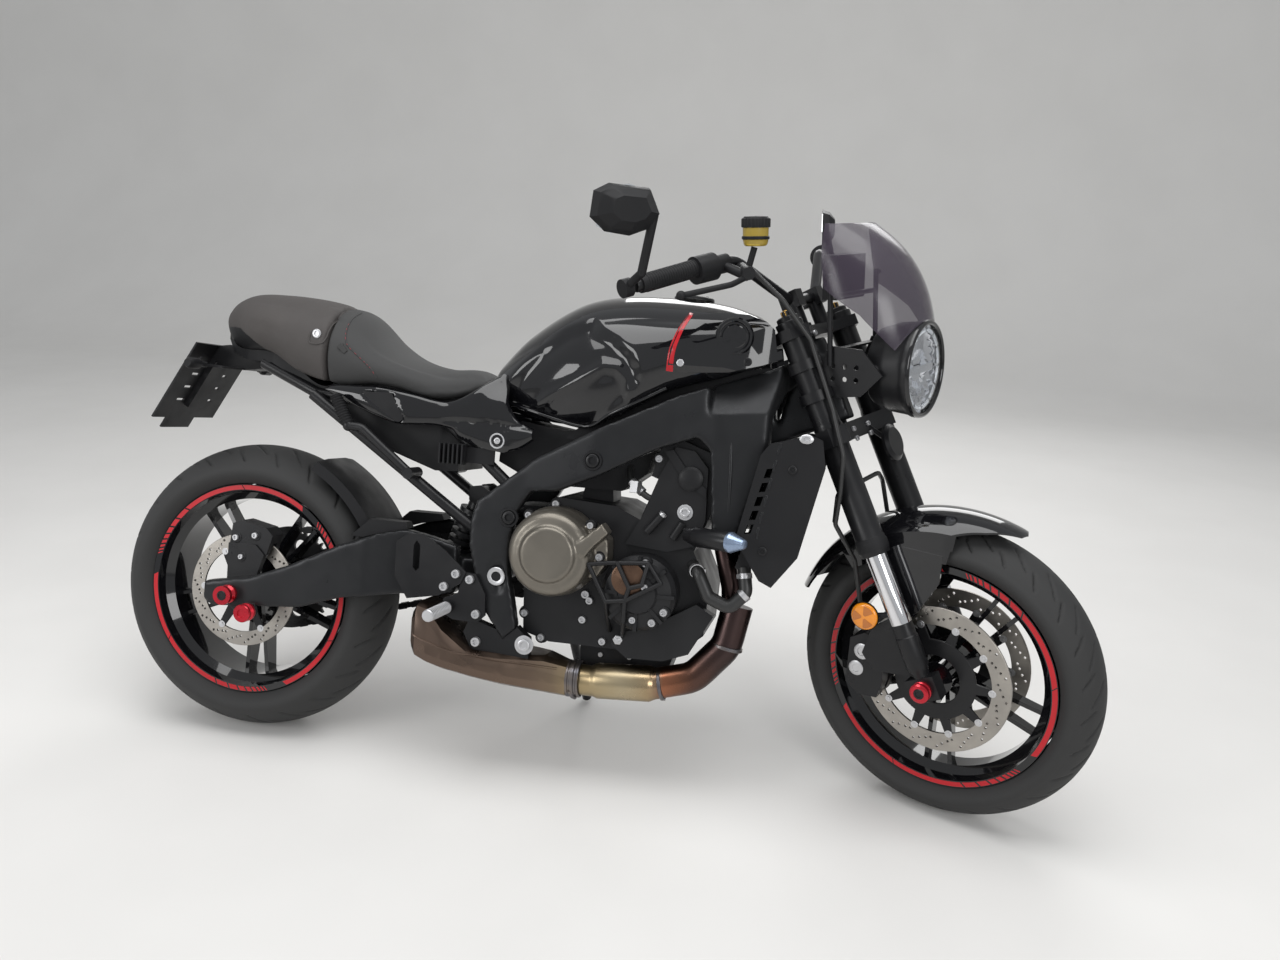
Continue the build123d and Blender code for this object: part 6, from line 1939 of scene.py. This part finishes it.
@dataclass(frozen=True)
class FrameTrim:
    """Caps and rings on the frame, crease of its front leg, footrest screws, pegs and slider tips."""

    caps: Heads = ((778, 168, 662, 17), (611, 151, 534, 17), (541, 127, 486, 15))
    rests: Heads = (
        (512, -163, 412, 9), (488, -163, 384, 9), (541, -160, 403, 9), (558, -160, 334, 9),
        (557, -146, 275, 10))
    crease: Line = ((1042, 735), (1045, 680), (1047, 620), (1049, 556))
    pivot: Triple = (592.0, 151.9, 413.0)
    pivot_ring: Line = ((10, -0.2), (10, 1.4), (11, 2.2), (17.5, 2.2), (18.6, 1.2), (18.6, -0.4))
    tip: Line = ((19.4, 108), (19.5, 110), (19.5, 113), (17.6, 116.4), (8.6, 142.4), (5.4, 143.6), (0, 143.8))

    def build(self) -> None:
        """Dress both sides."""
        dark = Piece("frame_caps", Body.CHASSIS, BLACK_STEEL)
        rings = Piece("pivot_rings", Body.CHASSIS, BARE_STEEL)
        # holes: painted shade, flat matte black discs that stand for the dark inside of the hollow pivot bolts.
        holes = Piece("pivot_bore_shade_discs", Body.CHASSIS, MATTE_BLACK)
        ridge = Piece("frame_leg_creases", Body.CHASSIS, GRAPHITE)
        skin = Skin(frame["nodes"]["main_frame"])
        for side in (-1, 1):
            for x, y, z, radius in self.caps:
                at = across(x, side * y, z, side)
                dark.add(lathe([(radius + 3, 0), (radius + 2, 2.4), (radius - 2, 2.6), (radius - 3.4, 1.0),
                                (radius - 4, 1.0)], 40), at)
                dark.add(screw(radius - 4, 0.55), at)
            x, y, z = self.pivot
            at = across(x, side * y, z, side)
            rings.add(lathe(self.pivot_ring, 48), at)
            # Painted shade: a flat black disc over the end of each hollow pivot bolt, in place of its shaded bore.
            holes.add(lathe([(0, 0.3), (10.2, 0.3)], 32), at)
            line = skin.along(self.crease, side, 0.0, 6.0)
            if len(line) > 2:
                count = len(line)
                radii = [5.0 * math.sin(math.pi * (k + 0.5) / count) ** 0.5 for k in range(count)]
                ridge.add(tube([p + Vector((0, side * 0.2 - side * 3.2, 0)) for p in line], radii, 10, 4))
        for piece in (dark, rings, holes, ridge):
            piece.build()
        screws("footrest_screws", Body.CHASSIS, BARE_STEEL, self.rests)
        screws("footrest_screws_left", Body.CHASSIS, BARE_STEEL,
               [(x, -y, z, r) for x, y, z, r in self.rests[:4]], 1)
        self.pegs()
        self.sliders()

    def pegs(self) -> None:
        """Grooved metal sleeves on the rider's pegs, and ribs on the passenger's."""
        metal = Piece("peg_sleeves", Body.CHASSIS, BARE_STEEL, crease_angle=25)
        ribs = Piece("passenger_peg_ribs", Body.CHASSIS, GRIP_RUBBER, crease_angle=25)
        for side in (-1, 1):
            start, end = Vector((498.5, side * 172, 343.2)), Vector((492, side * 256, 340))
            rows = ribbed(((9.5, 0), (12.4, 0.6)), ((12.4, 0), (12.4, 2.6), (10.9, 3.4), (10.9, 5.0)), 5.8,
                          ((12.2, -2), (10.8, 0), (0, 0.4)), (end - start).length, 2, 6)
            metal.add(lathe(rows, 20), pointing(start, end - start))
            start, end = Vector((252, side * 148, 696)), Vector((222, side * 148, 752))
            rows = ribbed(((10, 0), (12.2, 0.6)), ((12.6, 0), (13.4, 1.4), (11.4, 3.0), (11.4, 4.4)), 5.6,
                          ((12.4, -1), (10, 1.5), (0, 2)), (end - start).length, 2, 5)
            ribs.add(lathe(rows, 20), pointing(start, end - start))
        metal.build()
        ribs.build()

    def sliders(self) -> None:
        """Blue-silver tips and end rings on the crash sliders."""
        tips = Piece("slider_tips", Body.CHASSIS, PALE_BLUE_ALLOY, crease_angle=25)
        for side in (-1, 1):
            at = pointing((972, side * 166, 533), (107, side * 70, 2))
            tips.add(lathe(self.tip, 48), at)
        tips.build()


@dataclass(frozen=True)
class AxleTrim:
    """Second red bobbin with its bracket, caliper's screws, and the axles' dark end rings."""

    arm_face: float = 145.2
    bracket: Line = ((-4, 296), (16, 292), (34, 302), (62, 300), (66, 280), (58, 264), (40, 262), (24, 274))
    bracket_thick: float = 8.0
    bobbin: Line = ((0, 22), (8, 22), (9, 24.5), (17.5, 24.5), (19, 22), (19, 17), (13.5, 13.5), (13.5, 9.5),
                    (19, 6), (19, 0))
    bobbin_at: tuple[float, float] = (46.0, 281.0)
    bolts: tuple[Triple, ...] = ((37, 440, 6.5), (-8, 432, 6.5), (8, 392, 5.5))
    boss_high: float = 1.6
    end_ring: Line = ((0, 0.4), (5.5, 0.4), (6, 1.8), (9.5, 1.8), (10.5, 0.2))

    def bobbins(self) -> None:
        """Red bobbins below the rear axle."""
        bracket = Piece("bobbin_bracket", Body.CHASSIS, BLACK_STEEL, bevel=0.001)
        red = Piece("lower_bobbin", Body.CHASSIS, RED_ALLOY, crease_angle=25)
        x, z = self.bobbin_at
        for side in (-1, 1):
            inner = side * (self.arm_face - self.bracket_thick)
            bracket.add(prism(self.bracket, inner, side * self.arm_face), SIDE_VIEW)
            red.add(lathe(self.bobbin, 48), across(x, side * self.arm_face, z, side))
        bracket.build()
        red.build()

    def caliper(self) -> None:
        """Bolts on their bosses on the rear caliper."""
        caps = Piece("rear_caliper_caps", Body.CHASSIS, BARE_STEEL)
        dark = Piece("rear_caliper_ribs", Body.CHASSIS, BLACK_STEEL, bevel=0.0008)
        skin = Skin(frame["nodes"]["rear_caliper"])
        for x, z, radius in self.bolts:
            spot = skin.side(x, z)
            if spot is not None:
                boss = [(radius + 6, -2), (radius + 5, self.boss_high), (0, self.boss_high)]
                dark.add(lathe(boss, 28), across(x, spot.y, z))
                caps.add(screw(radius), across(x, spot.y - self.boss_high, z))
        caps.build()
        dark.build()

    def ends(self) -> None:
        """Dark rings in the axles' red ends; the rear one has a ring on its right end only."""
        for name, body, x, y, z, sides in (("rear_axle_ends", Body.CHASSIS, 0, 171, 315, (-1,)),
                                           ("front_axle_ends", Body.STEERING, 1495, 141, 300, (-1, 1))):
            piece = Piece(name, body, BLACK_STEEL)
            for side in sides:
                piece.add(lathe(self.end_ring, 32), across(x, side * y, z, side))
            piece.build()

    def build(self) -> None:
        """Bobbins, caliper bolts and axle ends."""
        self.bobbins()
        self.caliper()
        self.ends()


@dataclass(frozen=True)
class ExhaustTrim:
    """Clamp, weld beads, strap and seam on the exhaust, and the coolant hose's clamps."""

    seam: Line = ((430, 281), (446, 273), (480, 264), (524, 254), (562, 250), (600, 246), (660, 243),
                  (728, 238))
    clips: tuple[tuple[Triple, Triple], ...] = (
        ((1090, -146.5, 426), (30, 4, 32)), ((994, -142, 463.5), (13, -36, -6)),
        ((1089, -140.5, 462), (-8, 8, 48)))

    def band(self, piece: Piece, skin: Skin, x: float, width: float, lift: float, steps: int = 12) -> None:
        """A strip round the outer half of the silencer at x.

        Args:
            piece: what the strip is added to.
            skin: the silencer's surface.
            x: place along the bike.
            width: the strip's width.
            lift: how far its middle stands off the surface.
            steps: pieces round the silencer.
        """
        verts, faces = [], []
        for row, offset in enumerate((-width / 2, -width / 4, width / 4, width / 2)):
            rise = lift if row in (1, 2) else 0.0
            for k in range(steps + 1):
                angle = math.radians(100 - 200 * k / steps)
                centre = Vector((x + offset, -70, 268))
                out = Vector((0, -math.cos(angle), math.sin(angle)))
                hit, _, _, _ = skin.tree.ray_cast(centre + out * 260, -out)
                if hit is None:
                    return
                verts.append(hit + out * rise)
        for row in range(0, 3 * (steps + 1), steps + 1):
            faces += [(row + k, row + k + 1, row + k + steps + 2, row + k + steps + 1) for k in range(steps)]
        piece.add((verts, faces))

    def build(self) -> None:
        """Everything on the pipes."""
        clamp = Piece("exhaust_clamp", Body.CHASSIS, BLUE_STEEL, crease_angle=30)
        rows = [(34.5, 0), (37.5, 0.8), (37.5, 5), (36, 6.5), (36, 9), (38.6, 10.4), (38.6, 17), (36, 18.6),
                (36, 22), (37.4, 23.4), (37.4, 27), (34.5, 28)]
        clamp.add(lathe(rows, 56), pointing((745, -107.8, 213.2), (28, 0, 0.6)))
        clamp.add(tube([(756, -140, 196), (760, -132, 184), (764, -118, 177)], 4.0, 10, 4)).build()
        weld = Piece("exhaust_welds", Body.CHASSIS, BLUE_STEEL, crease_angle=60)
        beads = [(30.0, -4.2)] + [(32.6 + 0.7 * (k % 2), -3.2 + k * 1.28) for k in range(6)] + [(30.0, 4.2)]
        for spot, way in (((937, -107.9, 223.5), (16, 0, 3.6)), ((1060, -100, 312), (16, 5, 84))):
            weld.add(lathe(beads, 56), pointing(spot, way))
        weld.build()
        skin = Skin(frame["nodes"]["muffler"])
        seam = Piece("silencer_seam", Body.CHASSIS, HEAT_STEEL)
        line = skin.along(self.seam, -1, 0.2, 6.0)
        if len(line) > 2:
            seam.add(tube(line, 2.4, 8, 2))
        for x in (628.0, 650.0):
            self.band(seam, skin, x, 9.0, 1.8)
        seam.build()
        clips = Piece("hose_clips", Body.CHASSIS, BARE_STEEL, crease_angle=30)
        for spot, way in self.clips:
            clips.add(lathe([(12.6, -5), (14.2, -5), (14.2, 5), (12.6, 5)], 32), pointing(spot, way))
            clips.add(prism([(13, -4.5), (18, -4.5), (18, 4.5), (13, 4.5)], -4, 4), pointing(spot, way))
        clips.build()


@dataclass(frozen=True)
class RadiatorTrim:
    """Slots and bolts in the radiator's side cowls."""

    slots: Line = ((1140, 728), (1134, 698), (1128, 664), (1122, 630), (1116, 597), (1111, 566), (1108, 538))
    bolts: tuple[Triple, ...] = ((1165, 676, 8), (1121, 519, 8))
    slot: Line = ((-2.2, -11), (2.2, -11), (2.6, 0), (2.2, 11), (-2.2, 11), (-2.6, 0))
    lens: Line = ((0, 1.6), (3.5, 1.6), (4.5, 3.2), (8.5, 3.2), (10.5, 1.8), (10.5, -1))

    def build(self) -> None:
        """Both cowls."""
        dark = Piece("radiator_cowl_slots", Body.CHASSIS, GLOSS_BLACK, bevel=0.0004)
        heads = Piece("radiator_cowl_bolts", Body.CHASSIS, BLACK_STEEL)
        pale = Piece("radiator_cowl_caps", Body.CHASSIS, BARE_STEEL)
        skin = Skin(frame["nodes"]["radiator_cowls"])
        for side in (-1, 1):
            for (ax, az), (bx, bz) in zip(self.slots, self.slots[1:]):
                x, z, way = (ax + bx) / 2, (az + bz) / 2, math.atan2(bx - ax, az - bz)
                spot = skin.side(x, z, side)
                if spot is not None:
                    tilt = Matrix.Rotation(-way * side, 4, "Z")
                    dark.add(prism(self.slot, -1.0, 1.0), across(x, spot.y, z, side) @ tilt)
            for x, z, radius in self.bolts:
                spot = skin.side(x, z, side)
                if spot is not None:
                    heads.add(screw(radius, 0.5), across(x, spot.y, z, side))
            spot = skin.side(1186, 735, side)
            if spot is not None:
                at = across(1186, spot.y, 735, side) @ Matrix.Diagonal((1.25, 0.85, 1, 1))
                pale.add(lathe(self.lens, 32), at)
        for piece in (dark, heads, pale):
            piece.build()


REAR_WHEEL = Wheel("rear", Body.REAR_WHEEL, "rear_tyre", "rear_disc", 0.0, 315.0, 90.0, 50.0, 74.0, -64.0,
                   (-88.0,), 122.5, 92.0, 46.0, 6, 22)
FRONT_WHEEL = Wheel("front", Body.FRONT_WHEEL, "front_tyre", "front_discs", 1495.0, 300.0, 60.0, 38.0, 48.0,
                    -30.0, (-58.0, 58.0), 149.0, 112.0, 82.0, 10, 26, carrier_inner=50.0)


def soft_edges() -> bpy.types.NodeTree:
    """Geometry nodes that weld a solid's facets and shade its curves smooth up to its sharp edges."""
    tree = bpy.data.node_groups.new("soft_edges", "GeometryNodeTree")
    tree.interface.new_socket("Geometry", in_out="INPUT", socket_type="NodeSocketGeometry")
    tree.interface.new_socket("Geometry", in_out="OUTPUT", socket_type="NodeSocketGeometry")
    chain = [tree.nodes.new("NodeGroupInput")]
    drop = tree.nodes.new("GeometryNodeRemoveAttribute")
    drop.inputs["Name"].default_value = "custom_normal"
    weld = tree.nodes.new("GeometryNodeMergeByDistance")
    weld.inputs["Distance"].default_value = 0.00001
    smooth = tree.nodes.new("GeometryNodeSetShadeSmooth")
    sharp = tree.nodes.new("GeometryNodeSetShadeSmooth")
    sharp.domain = "EDGE"
    sharp.inputs["Shade Smooth"].default_value = False
    angle = tree.nodes.new("GeometryNodeInputMeshEdgeAngle")
    test = tree.nodes.new("FunctionNodeCompare")
    test.data_type = "FLOAT"
    test.operation = "GREATER_THAN"
    test.inputs[1].default_value = math.radians(32)
    tree.links.new(angle.outputs["Unsigned Angle"], test.inputs[0])
    tree.links.new(test.outputs[0], sharp.inputs["Selection"])
    chain += [drop, weld, smooth, sharp, tree.nodes.new("NodeGroupOutput")]
    for before, after in zip(chain, chain[1:]):
        tree.links.new(before.outputs["Geometry"], after.inputs["Geometry"])
    return tree


ROUNDED: dict[str, tuple[float, int]] = {"main_frame": (0.0048, 6), "swingarm": (0.0042, 8),
                                         "clutch_cover": (0.0032, 2), "headlight_shell": (0.0036, 2)}


def dress_nodes() -> None:
    """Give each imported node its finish, soften its edges and round the castings."""
    tree = soft_edges()
    for name, obj in frame["nodes"].items():
        finish = NODE_FINISH[name]
        obj.data.materials.clear()
        obj.data.materials.append(finish.material())
        if name in ROUNDED:
            size, rounds = ROUNDED[name]
            even = obj.modifiers.new("even", "REMESH")
            even.mode = "VOXEL"
            even.voxel_size = size
            even.use_smooth_shade = True
            smooth = obj.modifiers.new("rounding", "SMOOTH")
            smooth.factor = 0.5
            smooth.iterations = rounds
        else:
            obj.modifiers.new("soft_edges", "NODES").node_group = tree
        LOG.info("node %s finished as %s", name, finish.name)


# Studio


@dataclass(frozen=True)
class Studio:
    """Pale floor and backdrop, soft lamps, and the camera where the photographer stood."""

    lens: float = 29.15
    sensor: float = 36.0
    eye_from_hub: Triple = (1.2342, -1.98834, 0.9)
    right: Triple = (0.98000379, 0.19623605, 0.03292391)
    down: Triple = (0.08514847, -0.26404076, -0.96074565)
    floor_tone: float = 0.74

    def camera(self) -> None:
        """Make the camera from its right and down directions."""
        data = bpy.data.cameras.new("portrait_camera")
        data.sensor_width = self.sensor
        data.lens = self.lens
        data.clip_start = 0.05
        camera = bpy.data.objects.new("portrait_camera", data)
        bpy.context.scene.collection.objects.link(camera)
        right, up = Vector(self.right), -Vector(self.down)
        back = right.cross(up)
        eye = Vector(STANCE.joint("rear_wheel_spin")["pos_m"]) + Vector(self.eye_from_hub)
        camera.matrix_world = Matrix(((right.x, up.x, back.x, eye.x), (right.y, up.y, back.y, eye.y),
                                      (right.z, up.z, back.z, eye.z), (0, 0, 0, 1)))
        bpy.context.scene.camera = camera

    def stage_material(self, name: str, tone: float) -> bpy.types.Material:
        """A plain pale material with a faint mottle."""
        return Finish(name, (tone, tone * 0.985, tone * 0.96), (tone * 0.97, tone * 0.955, tone * 0.93),
                      rough=0.55, specular=0.25, patch_scale=2.0, grain_strength=0.0).material()

    def floor(self) -> None:
        """A floor that bends up into a backdrop far behind."""
        mesh = bpy.data.meshes.new("floor")
        rows = [(-9.0, 0.0), (4.0, 0.0)]
        rows += [(4.0 + 2.0 * math.sin(t * math.pi / 24), 2.0 - 2.0 * math.cos(t * math.pi / 24))
                 for t in range(1, 13)]
        rows.append((6.0, 9.0))
        verts = [(x, y, z - 0.0005) for y, z in rows for x in (-12.0, 12.0)]
        faces = [(2 * i, 2 * i + 1, 2 * i + 3, 2 * i + 2) for i in range(len(rows) - 1)]
        mesh.from_pydata(verts, [], faces)
        floor = bpy.data.objects.new("floor", mesh)
        bpy.context.scene.collection.objects.link(floor)
        mesh.materials.append(self.stage_material("pale_floor", self.floor_tone))
        for polygon in mesh.polygons:
            polygon.use_smooth = True
        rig.stage(floor)

    def lamp(self, name: str, place: Point, target: Point, size: tuple[float, float], power: float) -> None:
        """One soft rectangular lamp.

        Args:
            name: the lamp's name.
            place: where it hangs, in metres.
            target: the point it faces.
            size: width and height in metres.
            power: watts.
        """
        data = bpy.data.lights.new(name, "AREA")
        data.shape = "RECTANGLE"
        data.size, data.size_y = size
        data.energy = power
        lamp = bpy.data.objects.new(name, data)
        bpy.context.scene.collection.objects.link(lamp)
        lamp.location = place
        lamp.rotation_euler = (Vector(target) - Vector(place)).to_track_quat("-Z", "Y").to_euler()

    def light(self) -> None:
        """World and lamps."""
        world = bpy.data.worlds.new("studio")
        bpy.context.scene.world = world
        world.use_nodes = True
        background = world.node_tree.nodes["Background"]
        background.inputs["Color"].default_value = (0.86, 0.88, 0.9, 1)
        background.inputs["Strength"].default_value = 0.58
        self.lamp("overhead", (0.0, -0.6, 3.2), (0.0, 0.0, 0.4), (3.2, 2.0), 70)
        self.lamp("front_left", (2.6, -3.4, 2.0), (0.2, 0.0, 0.6), (1.6, 1.6), 45)
        self.lamp("side", (-2.8, -3.0, 1.8), (-0.3, 0.0, 0.5), (1.4, 1.8), 40)
        self.lamp("behind", (0.5, 3.2, 2.6), (0.0, 0.0, 0.6), (3.0, 1.2), 45)

    def build(self) -> None:
        """Everything round the bike."""
        bpy.context.scene.view_settings.view_transform = "Standard"
        self.camera()
        self.floor()
        self.light()
        LOG.info("studio built")


def main() -> None:
    """Build each sub-assembly in order."""
    logging.basicConfig(level=logging.INFO, format="%(message)s")
    Studio().build()
    dress_nodes()
    REAR_WHEEL.build()
    FRONT_WHEEL.build()
    Saddle().build()
    Tank().build()
    SidePanels().build()
    Fork().build()
    Headlamp().build()
    Cockpit().build()
    EngineTrim().build()
    FrameTrim().build()
    AxleTrim().build()
    ExhaustTrim().build()
    RadiatorTrim().build()


def write_sizes() -> None:
    """Write the solids' box and the dressed model's box, for comparison."""
    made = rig.bounds()
    with open("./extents.json", "w") as out:
        json.dump({"cad": [list(corner) for corner in CAD_BOX], "visual": [list(corner) for corner in made]},
                  out)


if __name__ == "__main__":
    main()
    write_sizes()
